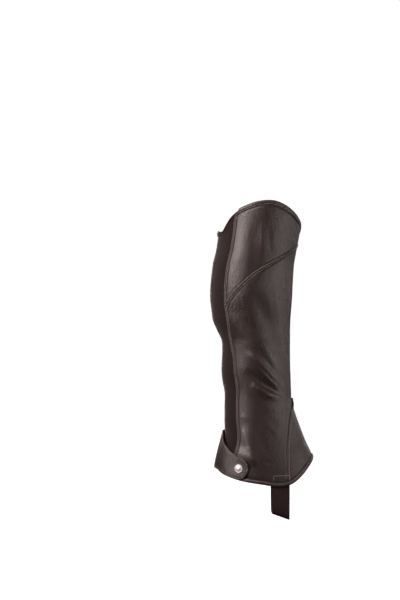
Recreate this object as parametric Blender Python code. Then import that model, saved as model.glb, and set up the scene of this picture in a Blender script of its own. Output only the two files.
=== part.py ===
"""Leather half chap for the right leg, as worn over a paddock boot.

Z is up, X points to the toe and the outer side of the leg faces -Y. The origin is at the
middle of the calf's widest section. Sizes are in millimetres here, and meshes in metres.

The worn leather's outer face is one form: egg-shaped sections up the leg with soft folds on
them. A place on it is an angle, which starts at the zip at the back and grows round the
outer side, over the shin and back along the inner side, and a height. Each cut or sewn
piece is a stretch of that form between its seams.
"""
import math

import bmesh
import bpy
import numpy as np
from mathutils import Matrix, Vector

MM = 0.001
TURN = 2 * math.pi
OUTER_SIDE = -1
INNER_SIDE = 1

# Thicknesses and widths of what is cut and sewn
LEATHER_WALL = 1.8
ELASTIC_WALL = 1.3
TAPE_WALL = 0.8
SEAM_GAP = 0.35
ELASTIC_SET_BACK = 0.5
ELASTIC_TOP_GAP = 0.5
TAPE_SET_BACK = 0.9
STRIP_PROUD = 0.8
TOP_BINDING_WIDTH = 7.4
TOP_BINDING_THICK = 3.8
ELASTIC_BINDING_WIDTH = 3.0
ELASTIC_BINDING_THICK = 2.4
ELASTIC_BINDING_PROUD = 0.3
HEM_BINDING_WIDTH = 5.6
HEM_BINDING_THICK = 4.0
BINDING_PROUD = 1.1
EDGE_STRIP_WIDTH = 4.8
EDGE_STRIP_RISE = 1.5
INNER_STRIP_WIDTH = 7.0
ZIP_CHAIN_WIDTH = 4.8
ZIP_CHAIN_THICK = 2.0
ZIP_CHAIN_PROUD = 0.15
ZIP_TAPE_WIDTH = 4.6
STRAP_WIDTH = 26.6
STRAP_WALL = 1.6
STRAP_BACK = 29.8
STRAP_TUCK = 3.3
STRAP_SLOPE = 0.36

# How square a binding's section is, across it and through it: 1 is round
BINDING_ROUND_WIDE = 0.6
BINDING_ROUND_DEEP = 0.75

# Where the bindings start and end on either side of the zip, and the knob at the top
# binding's end, in radians round the leg
ELASTIC_BINDING_START = 0.14
TOP_BINDING_END = 0.07
HEM_BINDING_END = 0.09
KNOB_START = 0.30
KNOB_FULL = 0.16
KNOB_SWELL = 0.45
PAST_ZIP = 0.05

# The form's sums: a small step, heights that count as equal, the rounds that bring two
# lines to their meeting, and the angle past which an edge is sharp
SMALL = 1e-3
TOUCH = 0.01
MEETING_ROUNDS = 80
MIDDLE_RADIUS = 55.0
SHARP_DEGREES = 40.0

# The worn form, from the top down: the back and front of the outline seen from the side,
# half the width seen from the front, and how much narrower the shin is than the calf
# Columns: height, back, front, half width, taper
SECTIONS = (
    (142.0, -50.5, 77.5, 57.0, 0.06),
    (107.0, -51.0, 75.2, 57.5, 0.07),
    (90.0, -52.0, 73.0, 57.5, 0.08),
    (64.0, -55.0, 68.3, 57.5, 0.10),
    (46.0, -59.2, 65.0, 57.3, 0.12),
    (18.0, -62.7, 63.0, 56.7, 0.13),
    (-12.0, -63.8, 61.3, 55.5, 0.13),
    (-31.0, -61.5, 59.8, 53.5, 0.12),
    (-43.0, -59.8, 59.0, 52.2, 0.12),
    (-58.0, -53.6, 58.5, 50.5, 0.11),
    (-73.0, -46.7, 58.2, 49.2, 0.10),
    (-89.0, -45.6, 58.1, 48.0, 0.10),
    (-122.0, -46.8, 58.9, 46.2, 0.10),
    (-135.0, -45.4, 59.2, 45.2, 0.10),
    (-153.0, -41.8, 59.8, 44.2, 0.11),
    (-165.0, -41.5, 60.3, 44.0, 0.12),
    (-172.0, -41.8, 61.8, 44.0, 0.13),
    (-184.0, -42.1, 65.6, 44.0, 0.16),
    (-196.0, -42.4, 69.8, 44.0, 0.19),
    (-211.0, -42.0, 75.6, 44.3, 0.22),
    (-226.0, -43.8, 81.5, 45.0, 0.24),
    (-244.0, -47.5, 90.5, 46.5, 0.26),
    (-260.0, -51.5, 97.5, 47.5, 0.27),
    (-280.0, -55.5, 104.0, 48.5, 0.28),
    (-302.0, -57.5, 110.0, 49.0, 0.28),
)

# Folds pressed into the leather by wear, each a soft ridge (rise above 0) or trough along a
# curve through three points of the side view
# Columns: side, x and height of the first, middle and last point, rise, width
FOLDS = (
    (OUTER_SIDE, 0.0, -90.0, 22.0, -122.0, 58.0, -160.0, 4.0, 6.5),
    (OUTER_SIDE, -8.0, -104.0, 14.0, -134.0, 46.0, -166.0, -3.4, 6.5),
    (OUTER_SIDE, -6.0, -134.0, 22.0, -156.0, 62.0, -170.0, 3.4, 6.5),
    (OUTER_SIDE, -10.0, -148.0, 16.0, -174.0, 52.0, -186.0, -2.8, 8.0),
    (OUTER_SIDE, -2.0, 6.0, 24.0, -46.0, 48.0, -112.0, -3.2, 11.0),
    (OUTER_SIDE, 14.0, -74.0, 26.0, -98.0, 46.0, -130.0, 1.6, 5.0),
    (OUTER_SIDE, -12.0, -186.0, -8.0, -216.0, 6.0, -244.0, 1.8, 5.5),
    (OUTER_SIDE, -2.0, -212.0, 4.0, -238.0, 20.0, -262.0, -1.8, 6.0),
    (INNER_SIDE, -44.0, -120.0, -24.0, -92.0, 10.0, -58.0, 2.4, 6.5),
    (INNER_SIDE, -36.0, -128.0, -8.0, -112.0, 30.0, -96.0, -2.4, 6.5),
    (INNER_SIDE, -32.0, -142.0, 0.0, -126.0, 34.0, -106.0, 2.2, 6.0),
    (INNER_SIDE, -30.0, -158.0, 4.0, -148.0, 38.0, -136.0, -1.8, 7.0),
    (INNER_SIDE, -40.0, -222.0, -30.0, -202.0, -18.0, -180.0, 2.0, 6.0),
    (INNER_SIDE, -26.0, -226.0, -14.0, -204.0, 0.0, -184.0, -1.8, 7.0),
)
FOLD_STEPS = 48
FOLD_END = 0.06
FOLD_FADE = (0.12, 0.55)

# Seams and edges, as points of the side view (x, height)
TOP_OUTER = (
    (-51.5, 89.0),
    (-45.1, 91.8),
    (-39.8, 101.0),
    (-33.7, 110.5),
    (-23.0, 120.5),
    (-9.2, 127.6),
    (6.1, 132.8),
    (21.7, 135.1),
    (32.6, 134.6),
    (45.1, 130.4),
    (59.7, 120.9),
    (69.6, 110.2),
)
TOP_FRONT = 97.0
TOP_INNER = ((66.0, 84.0), (43.0, 78.0), (12.0, 80.0), (-18.0, 84.0), (-46.0, 89.0))
HEM_OUTER = (
    (-54.0, -266.5),
    (-40.9, -275.5),
    (-13.0, -284.1),
    (14.8, -288.6),
    (38.9, -292.0),
    (57.4, -289.2),
    (66.6, -283.5),
    (76.0, -274.6),
    (85.7, -262.4),
)
HEM_FRONT = -248.5
HEM_INNER = (
    (85.0, -258.0),
    (74.0, -267.0),
    (60.0, -276.0),
    (48.0, -284.0),
    (36.0, -289.0),
    (14.0, -288.0),
    (-13.0, -284.0),
    (-40.0, -275.5),
    (-54.0, -266.5),
)
ELASTIC_EDGE = (
    (-23.6, 128.0),
    (-25.7, 110.0),
    (-27.4, 95.0),
    (-29.5, 79.6),
    (-32.4, 64.0),
    (-35.8, 49.0),
    (-38.2, 33.7),
    (-40.1, 18.4),
    (-41.0, 3.0),
    (-41.4, -12.2),
    (-40.2, -27.0),
    (-37.3, -43.0),
    (-32.3, -73.4),
    (-27.4, -104.0),
    (-24.3, -135.0),
    (-23.0, -165.0),
    (-22.7, -196.0),
    (-21.3, -226.0),
    (-24.0, -240.0),
    (-31.0, -256.0),
    (-41.0, -272.0),
    (-48.0, -284.0),
)
SPANISH_OUTER = (
    (-52.0, -57.0),
    (-48.5, -46.0),
    (-45.0, -36.0),
    (-41.5, -27.0),
    (-37.0, -14.5),
    (-24.9, 2.3),
    (-12.5, 14.8),
    (0.0, 25.7),
    (12.4, 34.3),
    (24.8, 41.3),
    (37.3, 48.3),
    (49.7, 55.4),
    (61.0, 63.0),
)
SPANISH_FRONT = 71.0
SPANISH_INNER = ((62.0, 72.0), (50.0, 68.0), (40.0, 62.0), (30.0, 56.0))
SPANISH_WIDTHS = ((-60.0, 7.0), (-10.0, 6.0), (60.0, 4.2))
INNER_SEAM = ((40.5, 128.0), (40.5, 60.0), (40.0, -60.0), (40.0, -170.0), (39.0, -300.0))
GUSSET_TIP = -167.0
GUSSET_OUTER = (
    (60.8, -168.0),
    (58.8, -184.0),
    (56.6, -199.5),
    (54.4, -220.0),
    (53.2, -240.0),
    (52.8, -262.0),
    (54.0, -284.0),
    (55.0, -300.0),
)
GUSSET_INNER = (
    (60.8, -168.0),
    (59.4, -184.0),
    (58.6, -202.0),
    (58.0, -222.0),
    (58.4, -246.0),
    (59.4, -272.0),
    (60.0, -300.0),
)
GUSSET_POINT_TOP = -162.0
GUSSET_POINT_TURN = 0.0567
GUSSET_OUT = ((-300.0, -0.3), (-179.0, -0.3), (-171.0, 2.4), (-150.0, 2.7))

# The snap flap, from its sewn edge on the inner side round the back to the snap: its lower
# and upper edges, and how far its outer face stands off the leather at each
# Columns: degrees round the leg, lower edge, upper edge, lower stand-off, upper stand-off
FLAP = (
    (-15.0, -268.5, -211.0, 3.5, 2.3),
    (-6.0, -268.5, -211.0, 4.2, 2.7),
    (4.0, -268.5, -211.5, 5.4, 3.6),
    (14.0, -269.5, -218.5, 5.6, 5.0),
    (26.0, -272.0, -230.0, 5.2, 6.2),
    (36.0, -276.5, -238.5, 4.4, 5.0),
    (45.0, -280.5, -245.0, 3.9, 4.0),
    (55.5, -284.0, -250.5, 3.9, 3.9),
)
FLAP_COLUMNS = 17
FLAP_ROWS = 7
FLAP_BULGE = 1.6
FLAP_BULGE_END = 42.0
FLAP_BULGE_FULL = 10.0
FLAP_WALL = 1.9
FLAP_END_ROUND = 15.5
FLAP_END_STEPS = (18.0, 36.0, 52.0, 66.0, 78.0, 86.0)
ANKLE_RADIUS = 76.0
FLAP_END_OUT = 3.9
SNAP_DEGREES = 55.5
SNAP_HEIGHT = -267.2
SNAP_CAP = ((6.4, 0.0), (6.4, 0.5), (5.9, 1.0), (5.0, 1.5), (3.2, 2.05), (1.5, 2.3))
SNAP_STUD = ((4.4, 0.0), (4.4, 0.9))
SNAP_STUD_OUT = 0.5
SNAP_LIFT = 0.4

# The label's plain patch on the elastic, and the zip's hard pieces
LABEL_TOP = 69.0
LABEL_BOTTOM = 46.0
LABEL_WIDTH = 4.6
LABEL_THICK = 0.45
LABEL_OUT = 0.35
LABEL_ASIDE = 0.8
ZIP_TOP = 83.5
ZIP_BOX_SIZE = (7.4, 9.0, 2.6)
ZIP_BOX_HEIGHT = 88.7
ZIP_BOX_OUT = -1.6
ZIP_BOX_EDGE = 0.5
SLIDER_SIZE = (8.6, 11.0, 2.4)
SLIDER_HEIGHT = -239.0
SLIDER_OUT = 0.55
SLIDER_EDGE = 0.6
PULL_SIZE = (5.0, 17.0, 1.3)
PULL_DROP = 12.0
PULL_LIFT = 0.5
PULL_EDGE = 0.3

# The stirrup strap under the boot's waist: its share of the hem's half width at each height
STRAP_PATH = (
    (1.0, -268.0),
    (1.0, -282.0),
    (1.0, -296.0),
    (0.985, -310.0),
    (0.94, -323.0),
    (0.86, -333.0),
    (0.74, -339.5),
    (0.55, -342.0),
    (0.28, -342.4),
    (0.0, -342.4),
)
STRAP_SEWN_TOP = -268.0
STRAP_SEWN_END = -296.0
STRAP_FREE = (-300.0, -330.0)
STRAP_TURN = (0.95, 0.6)
STRAP_COLUMNS = 4

# Colours are linear
LEATHER = ((0.060, 0.042, 0.037), 0.48, 0.0)
BINDING_LEATHER = ((0.045, 0.031, 0.027), 0.42, 0.0)
ELASTIC = ((0.052, 0.040, 0.037), 0.9, 0.0)
STRAP_ELASTIC = ((0.024, 0.014, 0.012), 0.92, 0.0)
ZIP_PLASTIC = ((0.020, 0.013, 0.012), 0.5, 0.0)
DARK_METAL = ((0.10, 0.085, 0.08), 0.35, 1.0)
SILVER = ((0.72, 0.68, 0.66), 0.22, 1.0)


def smooth(places, values, at):
    """A cubic through a table's points, each point's slope taken from its neighbours."""
    slopes = np.gradient(values, places)
    at = np.clip(at, places[0], places[-1])
    low = np.clip(np.searchsorted(places, at) - 1, 0, len(places) - 2)
    step = places[low + 1] - places[low]
    t = (at - places[low]) / step
    rise = values[low + 1] - values[low]
    start = slopes[low] * step
    end = slopes[low + 1] * step
    return values[low] + t * (start + t * (3 * rise - 2 * start - end + t * (start + end - 2 * rise)))


def rising(table):
    """A table's columns as arrays, with its first column in rising order."""
    columns = np.array(table, float).T
    return columns[:, np.argsort(columns[0])]


SECTION_TABLE = rising(SECTIONS)


def section(height):
    """Middle, reach, half width and taper of the egg-shaped section at a height."""
    back, front, half, taper = (smooth(SECTION_TABLE[0], c, height) for c in SECTION_TABLE[1:])
    return (back + front) / 2, (front - back) / 2, half, taper


def bare_form(angle, height):
    middle, reach, half, taper = section(height)
    x = middle - reach * np.cos(angle)
    y = -half * np.sin(angle) * (1 + taper * np.cos(angle))
    return np.stack([x, y, height + 0 * x], axis=-1)


def unit(vectors):
    return vectors / np.linalg.norm(vectors, axis=-1, keepdims=True)


def facing(angle, height):
    """The form's outward direction, without its folds."""
    round_it = bare_form(angle + SMALL, height) - bare_form(angle - SMALL, height)
    up = bare_form(angle, height + SMALL) - bare_form(angle, height - SMALL)
    return unit(np.cross(round_it, up))


def ramp(value, low, high):
    t = np.clip((value - low) / (high - low), 0, 1)
    return t * t * (3 - 2 * t)


def fold_rise(points, half):
    """How far the folds lift the leather at points of the bare form."""
    total = np.zeros(points.shape[:-1])
    along = np.linspace(0, 1, FOLD_STEPS + 1)
    weights = np.stack([(1 - along) ** 2, 2 * along * (1 - along), along**2], axis=-1)
    for side, x0, z0, x1, z1, x2, z2, rise, width in FOLDS:
        first, middle, last = np.array([(x0, z0), (x1, z1), (x2, z2)])
        line = weights @ np.array([first, 2 * middle - (first + last) / 2, last])
        away = np.linalg.norm(points[..., None, [0, 2]] - line, axis=-1)
        nearest = away.argmin(axis=-1)
        strength = np.sin(math.pi * (FOLD_END + (1 - 2 * FOLD_END) * along[nearest]))
        on_side = ramp(side * points[..., 1] / half, *FOLD_FADE)
        total += rise * strength * on_side * np.exp(-((away.min(axis=-1) / width) ** 2))
    return total


def form(angle, height, out=0.0):
    """Points of the worn leather's outer face, or out of it along its facing."""
    angle, height = np.broadcast_arrays(np.asarray(angle, float), np.asarray(height, float))
    points = bare_form(angle, height)
    lift = fold_rise(points, section(height)[2]) + out
    return points + lift[..., None] * facing(angle, height)


def angle_of(side, x, height):
    """The angle of a side-view point."""
    middle, reach, _, _ = section(np.asarray(height, float))
    angle = np.arccos(np.clip((middle - x) / reach, -1, 1))
    return angle if side == OUTER_SIDE else TURN - angle


class Seam:
    """A line on the form, through points of angle and height."""

    SAMPLES = 160

    def __init__(self, angles, heights):
        self.angles = np.array(angles, float)
        self.heights = np.array(heights, float)

    @classmethod
    def through(cls, angles, heights):
        """A smooth line through a few points."""
        steps = np.hypot(np.diff(angles) * MIDDLE_RADIUS, np.diff(heights))
        along = np.concatenate([[0], np.cumsum(steps)])
        fine = np.linspace(0, along[-1], cls.SAMPLES)
        return cls(smooth(along, np.array(angles), fine), smooth(along, np.array(heights), fine))

    def beside(self, distance):
        """The line moved sideways on the form, to the left of its direction."""
        ahead = bare_form(self.angles + SMALL, self.heights)
        behind = bare_form(self.angles - SMALL, self.heights)
        scale = np.linalg.norm(ahead - behind, axis=-1) / (2 * SMALL)
        across = np.gradient(self.angles) * scale
        up = np.gradient(self.heights)
        length = np.hypot(across, up)
        moved = np.asarray(distance) / length
        return Seam(self.angles - up * moved / scale, self.heights + across * moved)

    def angle_at(self, height):
        order = np.argsort(self.heights)
        return np.interp(height, self.heights[order], self.angles[order])

    def height_at(self, angle):
        order = np.argsort(self.angles)
        return np.interp(angle, self.angles[order], self.heights[order])


def upright(side, table):
    """A seam that runs down the leg on one side."""
    return Seam.through(
        [float(angle_of(side, x, z)) for x, z in table],
        [z for _, z in table],
    )


def level(outer, front, inner):
    """A line round the leg: its outer-side points, its height at the front and its inner side."""
    angles = [float(angle_of(OUTER_SIDE, x, z)) for x, z in outer]
    angles += [TURN / 2] + [float(angle_of(INNER_SIDE, x, z)) for x, z in inner]
    heights = [z for _, z in outer] + [front] + [z for _, z in inner]
    if inner[-1][0] < 0:
        angles = [-PAST_ZIP] + angles + [TURN + PAST_ZIP]
        heights = [outer[0][1]] + heights + [inner[-1][1]]
    return Seam.through(angles, heights)


TOP = level(TOP_OUTER, TOP_FRONT, TOP_INNER)
HEM = level(HEM_OUTER, HEM_FRONT, HEM_INNER)
SPANISH = level(SPANISH_OUTER, SPANISH_FRONT, SPANISH_INNER)
EDGE = upright(OUTER_SIDE, ELASTIC_EDGE)
INNER = upright(INNER_SIDE, INNER_SEAM)
GUSSET_A = upright(OUTER_SIDE, GUSSET_OUTER)
GUSSET_B = upright(INNER_SIDE, GUSSET_INNER)
BACK_HEIGHTS = np.linspace(150.0, -310.0, 9)
BACK_LINE = Seam(0 * BACK_HEIGHTS, BACK_HEIGHTS)
BACK_AGAIN = Seam(0 * BACK_HEIGHTS + TURN, BACK_HEIGHTS)


def patch(left, right, bottom, top, columns, rows):
    """Angles and heights of a grid between two upright lines and two level ones."""
    across, up = np.meshgrid(np.linspace(0, 1, columns + 1), np.linspace(0, 1, rows + 1))
    angle = left(0.0) * (1 - across) + right(0.0) * across
    height = bottom(angle) * (1 - up) + top(angle) * up
    for _ in range(MEETING_ROUNDS):
        angle = left(height) * (1 - across) + right(height) * across
        height = bottom(angle) * (1 - up) + top(angle) * up
    return angle, height


def crossing(upright_line, level_line):
    """The angle where an upright line meets a level one."""
    angle = upright_line(0.0)
    for _ in range(MEETING_ROUNDS):
        angle = upright_line(level_line(angle))
    return float(angle)


def material(name, look):
    colour, roughness, metallic = look
    made = bpy.data.materials.get(name) or bpy.data.materials.new(name)
    made.use_nodes = True
    shader = made.node_tree.nodes["Principled BSDF"]
    shader.inputs["Base Color"].default_value = (*colour, 1.0)
    shader.inputs["Roughness"].default_value = roughness
    shader.inputs["Metallic"].default_value = metallic
    return made


def add_object(name, points, faces, finish):
    mesh = bpy.data.meshes.new(name)
    mesh.from_pydata([tuple(p) for p in np.asarray(points) * MM], [], faces)
    mesh.materials.append(finish)
    mesh.shade_smooth()
    mesh.set_sharp_from_angle(angle=math.radians(SHARP_DEGREES))
    made = bpy.data.objects.new(name, mesh)
    bpy.context.collection.objects.link(made)
    return made


def cloth(name, patches, wall, finish, out=0.0):
    """A wall over one or more grids of the form, joined where their points meet."""
    index = {}
    angles = []
    heights = []
    faces = []
    for angle, height in patches:
        ids = np.zeros(angle.shape, int)
        for place in np.ndindex(angle.shape):
            key = (round(angle[place], 5), round(height[place], 3))
            if key not in index:
                index[key] = len(angles)
                angles.append(angle[place])
                heights.append(height[place])
            ids[place] = index[key]
        for j in range(ids.shape[0] - 1):
            for i in range(ids.shape[1] - 1):
                corners = [ids[j, i], ids[j, i + 1], ids[j + 1, i + 1], ids[j + 1, i]]
                faces.append([int(c) for c in dict.fromkeys(corners)])
    out = out(np.array(heights)) if callable(out) else out
    points = np.concatenate([form(angles, heights, out), form(angles, heights, out - wall)])
    return add_object(name, points, closed(faces, len(angles)), finish)


def closed(faces, inner_start):
    """Faces of an open sheet, its copy turned over, and the rim between them."""
    count = {}
    for face in faces:
        for a, b in zip(face, face[1:] + face[:1]):
            count[(a, b)] = count.get((a, b), 0) + 1
    rim = [(b, a, a + inner_start, b + inner_start) for a, b in count if (b, a) not in count]
    turned = [[c + inner_start for c in reversed(face)] for face in faces]
    return faces + turned + rim


def bead(name, seam, span, size, proud, finish, count, swell=None, cuts=(None, None), sides=8):
    """A binding: an oval bead along a line of the form, whose ends may be cut on a slant."""
    width, thick = size
    angles = np.linspace(*span, count)
    heights = seam.height_at(angles)
    centre = form(angles, heights, proud - thick / 2)
    outward = facing(angles, heights)
    along = unit(np.gradient(centre, axis=0))
    outward = unit(outward - (outward * along).sum(1, keepdims=True) * along)
    up = np.cross(outward, along)
    for ring, cut in zip((0, -1), cuts):
        if cut is not None:
            up[ring] = cut / (cut @ up[ring])
    turn = np.linspace(0, TURN, sides, endpoint=False) + TURN / sides / 2
    wide = np.sign(np.cos(turn)) * np.abs(np.cos(turn)) ** BINDING_ROUND_WIDE * width / 2
    deep = np.sign(np.sin(turn)) * np.abs(np.sin(turn)) ** BINDING_ROUND_DEEP * thick / 2
    grow = np.ones(count) if swell is None else swell(angles)
    rings = (
        centre[:, None]
        + up[:, None] * wide[None, :, None]
        + outward[:, None] * (deep * grow[:, None])[..., None]
    )
    return add_object(name, rings.reshape(-1, 3), tube_faces(count, sides), finish)


def tube_faces(count, sides):
    faces = [list(range(sides))[::-1], [(count - 1) * sides + k for k in range(sides)]]
    for ring in range(count - 1):
        for k in range(sides):
            low, high = ring * sides + k, ring * sides + (k + 1) % sides
            faces.append([low, high, high + sides, low + sides])
    return faces


def seat(degrees, height, out):
    """A frame on the form: X round the leg, Y up and Z outward."""
    angle = np.array(math.radians(degrees))
    height = np.array(height)
    outward = Vector(facing(angle, height))
    up = Vector((0, 0, 1))
    up = (up - up.dot(outward) * outward).normalized()
    round_it = up.cross(outward)
    place = Vector(form(angle, height, out)) * MM
    return Matrix.Translation(place) @ Matrix((round_it, up, outward)).transposed().to_4x4()


def turned(name, profile, frame, finish, sides=24):
    """A turned disc on a frame, from rows of radius and height."""
    turn = np.linspace(0, TURN, sides, endpoint=False)
    rings = [[(r * math.cos(t), r * math.sin(t), h) for t in turn] for r, h in profile]
    points = np.array(rings).reshape(-1, 3)
    made = add_object(name, points, tube_faces(len(profile), sides), finish)
    made.data.transform(frame)
    return made


def block(name, size, frame, finish, rounding):
    """A rounded block whose underside lies on a frame."""
    made = bpy.data.objects.new(name, bpy.data.meshes.new(name))
    bpy.context.collection.objects.link(made)
    shape = bmesh.new()
    bmesh.ops.create_cube(shape, size=1.0)
    bmesh.ops.translate(shape, verts=shape.verts[:], vec=(0, 0, 0.5))
    bmesh.ops.scale(shape, verts=shape.verts[:], vec=Vector(size) * MM)
    bmesh.ops.bevel(shape, geom=shape.edges[:], offset=rounding * MM, segments=2, affect="EDGES")
    shape.to_mesh(made.data)
    shape.free()
    made.data.materials.append(finish)
    made.data.transform(frame)
    return made


def shin(height):
    return np.full(np.shape(height), TURN / 2)


def at_tip(angle):
    return np.full(np.shape(angle), GUSSET_TIP)


def spanish_half():
    """Half the width of the strip on the Spanish seam, along it."""
    places, widths = rising(SPANISH_WIDTHS)
    x = bare_form(SPANISH.angles, SPANISH.heights)[:, 0]
    return np.interp(x, places, widths) / 2


def outer_panels(leather):
    """The Spanish top, the main outer panel with its slit for the gusset, and the gusset."""
    under_top = TOP.beside(-(TOP_BINDING_WIDTH / 2 + SEAM_GAP)).height_at
    over_hem = HEM.beside(HEM_BINDING_WIDTH / 2 + SEAM_GAP).height_at
    left = EDGE.beside(EDGE_STRIP_WIDTH / 2 + SEAM_GAP).angle_at
    right = INNER.beside(-(INNER_STRIP_WIDTH / 2 + SEAM_GAP)).angle_at
    over_spanish = SPANISH.beside(spanish_half() + SEAM_GAP).height_at
    under_spanish = SPANISH.beside(-(spanish_half() + SEAM_GAP)).height_at
    slit_a = GUSSET_A.beside(-SEAM_GAP / 2).angle_at
    slit_b = GUSSET_B.beside(SEAM_GAP / 2).angle_at
    top = patch(left, right, over_spanish, under_top, columns=24, rows=9)
    cloth("spanish_top", [top], LEATHER_WALL, leather)

    def slit_outer(height):
        edge = np.minimum(slit_a(height), TURN / 2)
        return np.where(height > GUSSET_TIP - TOUCH, TURN / 2, edge)

    def slit_inner(height):
        edge = np.maximum(slit_b(height), TURN / 2)
        return np.where(height > GUSSET_TIP - TOUCH, TURN / 2, edge)

    panel = [
        patch(left, shin, at_tip, under_spanish, columns=21, rows=26),
        patch(shin, right, at_tip, under_spanish, columns=7, rows=26),
        patch(left, slit_outer, over_hem, at_tip, columns=21, rows=15),
        patch(slit_inner, right, over_hem, at_tip, columns=7, rows=15),
    ]
    cloth("outer_panel", panel, LEATHER_WALL, leather)
    gusset(over_hem, leather)


def gusset(over_hem, leather):
    """The V-shaped instep piece, whose point stands proud of the shin."""
    side_a = GUSSET_A.beside(SEAM_GAP / 2).angle_at
    side_b = GUSSET_B.beside(-SEAM_GAP / 2).angle_at
    heights, outs = np.array(GUSSET_OUT).T

    def left(height):
        return np.minimum(side_a(height), TURN / 2 - GUSSET_POINT_TURN)

    def right(height):
        return np.maximum(side_b(height), TURN / 2 + GUSSET_POINT_TURN)

    def top(angle):
        return np.full(np.shape(angle), GUSSET_POINT_TOP)

    def out(height):
        return np.interp(height, heights, outs)

    grid = patch(left, right, over_hem, top, columns=9, rows=17)
    cloth("front_gusset", [grid], LEATHER_WALL, leather, out)


def inner_side(leather):
    seam_side = INNER.beside(INNER_STRIP_WIDTH / 2 + SEAM_GAP).angle_at
    zip_side = BACK_AGAIN.beside(-(ZIP_CHAIN_WIDTH / 2 + ZIP_TAPE_WIDTH + 2 * SEAM_GAP)).angle_at
    under_top = TOP.beside(-(TOP_BINDING_WIDTH / 2 + SEAM_GAP)).height_at
    over_hem = HEM.beside(HEM_BINDING_WIDTH / 2 + SEAM_GAP).height_at
    grid = patch(seam_side, zip_side, over_hem, under_top, columns=13, rows=38)
    cloth("inner_panel", [grid], LEATHER_WALL, leather)


def elastic_side(elastic):
    left = BACK_LINE.beside(ZIP_CHAIN_WIDTH / 2 + ZIP_TAPE_WIDTH + 2 * SEAM_GAP).angle_at
    right = EDGE.beside(-(EDGE_STRIP_WIDTH / 2 + SEAM_GAP)).angle_at
    under_top = TOP.beside(-(ELASTIC_BINDING_WIDTH / 2 + ELASTIC_TOP_GAP)).height_at
    over_hem = HEM.beside(HEM_BINDING_WIDTH / 2 + SEAM_GAP).height_at
    grid = patch(left, right, over_hem, under_top, columns=6, rows=38)
    cloth("elastic_panel", [grid], ELASTIC_WALL, elastic, -ELASTIC_SET_BACK)


def strips(leather):
    """The narrow strips that cover the seams."""
    over_hem = HEM.beside(HEM_BINDING_WIDTH / 2 + SEAM_GAP).height_at
    wall = LEATHER_WALL + STRIP_PROUD
    uprights = (
        ("elastic_edge_strip", EDGE, EDGE_STRIP_WIDTH / 2, TOP.beside(EDGE_STRIP_RISE)),
        ("inner_seam_strip", INNER, INNER_STRIP_WIDTH / 2, TOP.beside(-(TOP_BINDING_WIDTH / 2 + SEAM_GAP))),
    )
    for name, seam, half, top in uprights:
        left = seam.beside(-half).angle_at
        right = seam.beside(half).angle_at
        grid = patch(left, right, over_hem, top.height_at, columns=1, rows=39)
        cloth(name, [grid], wall, leather, STRIP_PROUD)
    left = EDGE.beside(EDGE_STRIP_WIDTH / 2 + SEAM_GAP).angle_at
    right = INNER.beside(-(INNER_STRIP_WIDTH / 2 + SEAM_GAP)).angle_at
    lower = SPANISH.beside(-spanish_half()).height_at
    upper = SPANISH.beside(spanish_half()).height_at
    grid = patch(left, right, lower, upper, columns=30, rows=1)
    cloth("spanish_strip", [grid], wall, leather, STRIP_PROUD)


def bindings(leather, elastic):
    """The top edge's leather and elastic bindings, which meet the edge strip, and the hem's."""
    beside_strip = EDGE_STRIP_WIDTH / 2 + SEAM_GAP
    elastic_end = crossing(EDGE.beside(-beside_strip).angle_at, TOP.height_at)
    leather_start = crossing(EDGE.beside(beside_strip).angle_at, TOP.height_at)
    corner = TOP.height_at(leather_start)
    strip_ends = [form(EDGE.angle_at(height), height) for height in (corner - 1, corner + 1)]
    slant = strip_ends[1] - strip_ends[0]

    def knob(angles):
        return 1 + KNOB_SWELL * ramp(angles, TURN - KNOB_START, TURN - KNOB_FULL)

    span = (leather_start, TURN - TOP_BINDING_END)
    size = (TOP_BINDING_WIDTH, TOP_BINDING_THICK)
    bead("top_binding", TOP, span, size, BINDING_PROUD, leather, 50, knob, cuts=(slant, None))
    span = (ELASTIC_BINDING_START, elastic_end)
    size = (ELASTIC_BINDING_WIDTH, ELASTIC_BINDING_THICK)
    bead("elastic_top_binding", TOP, span, size, ELASTIC_BINDING_PROUD, elastic, 14, cuts=(None, slant))
    span = (HEM_BINDING_END, TURN - HEM_BINDING_END)
    size = (HEM_BINDING_WIDTH, HEM_BINDING_THICK)
    bead("hem_binding", HEM, span, size, BINDING_PROUD, leather, 64)


def zip_parts(tape, plastic, metal):
    """The zip's two tapes, its chain, the box at its top and the slider with its pull."""
    over_hem = HEM.beside(HEM_BINDING_WIDTH / 2 + SEAM_GAP).height_at
    half = ZIP_CHAIN_WIDTH / 2

    def top(angle):
        return np.full(np.shape(angle), ZIP_TOP)

    sides = (("outer", BACK_LINE, 1), ("inner", BACK_AGAIN, -1))
    for name, line, way in sides:
        near = line.beside(way * (half + SEAM_GAP)).angle_at
        far = line.beside(way * (half + SEAM_GAP + ZIP_TAPE_WIDTH)).angle_at
        left, right = (near, far) if way > 0 else (far, near)
        grid = patch(left, right, over_hem, top, columns=1, rows=40)
        cloth(f"zip_tape_{name}", [grid], TAPE_WALL, tape, -TAPE_SET_BACK)
    left = BACK_LINE.beside(-half).angle_at
    right = BACK_LINE.beside(half).angle_at
    grid = patch(left, right, over_hem, top, columns=1, rows=40)
    cloth("zip_chain", [grid], ZIP_CHAIN_THICK, plastic, ZIP_CHAIN_PROUD)
    block("zip_box", ZIP_BOX_SIZE, seat(0, ZIP_BOX_HEIGHT, ZIP_BOX_OUT), metal, ZIP_BOX_EDGE)
    frame = seat(0, SLIDER_HEIGHT, SLIDER_OUT)
    slider = block("zip_slider", SLIDER_SIZE, frame, metal, SLIDER_EDGE)
    hang = Matrix.Translation(Vector((0, -PULL_DROP, PULL_LIFT)) * MM)
    pull = block("pull_tab", PULL_SIZE, frame @ hang, metal, PULL_EDGE)
    pull.hide_render = True
    pull.display_type = "WIRE"
    joined = slider.modifiers.new("pull_tab", "BOOLEAN")
    joined.operation = "UNION"
    joined.object = pull


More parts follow.
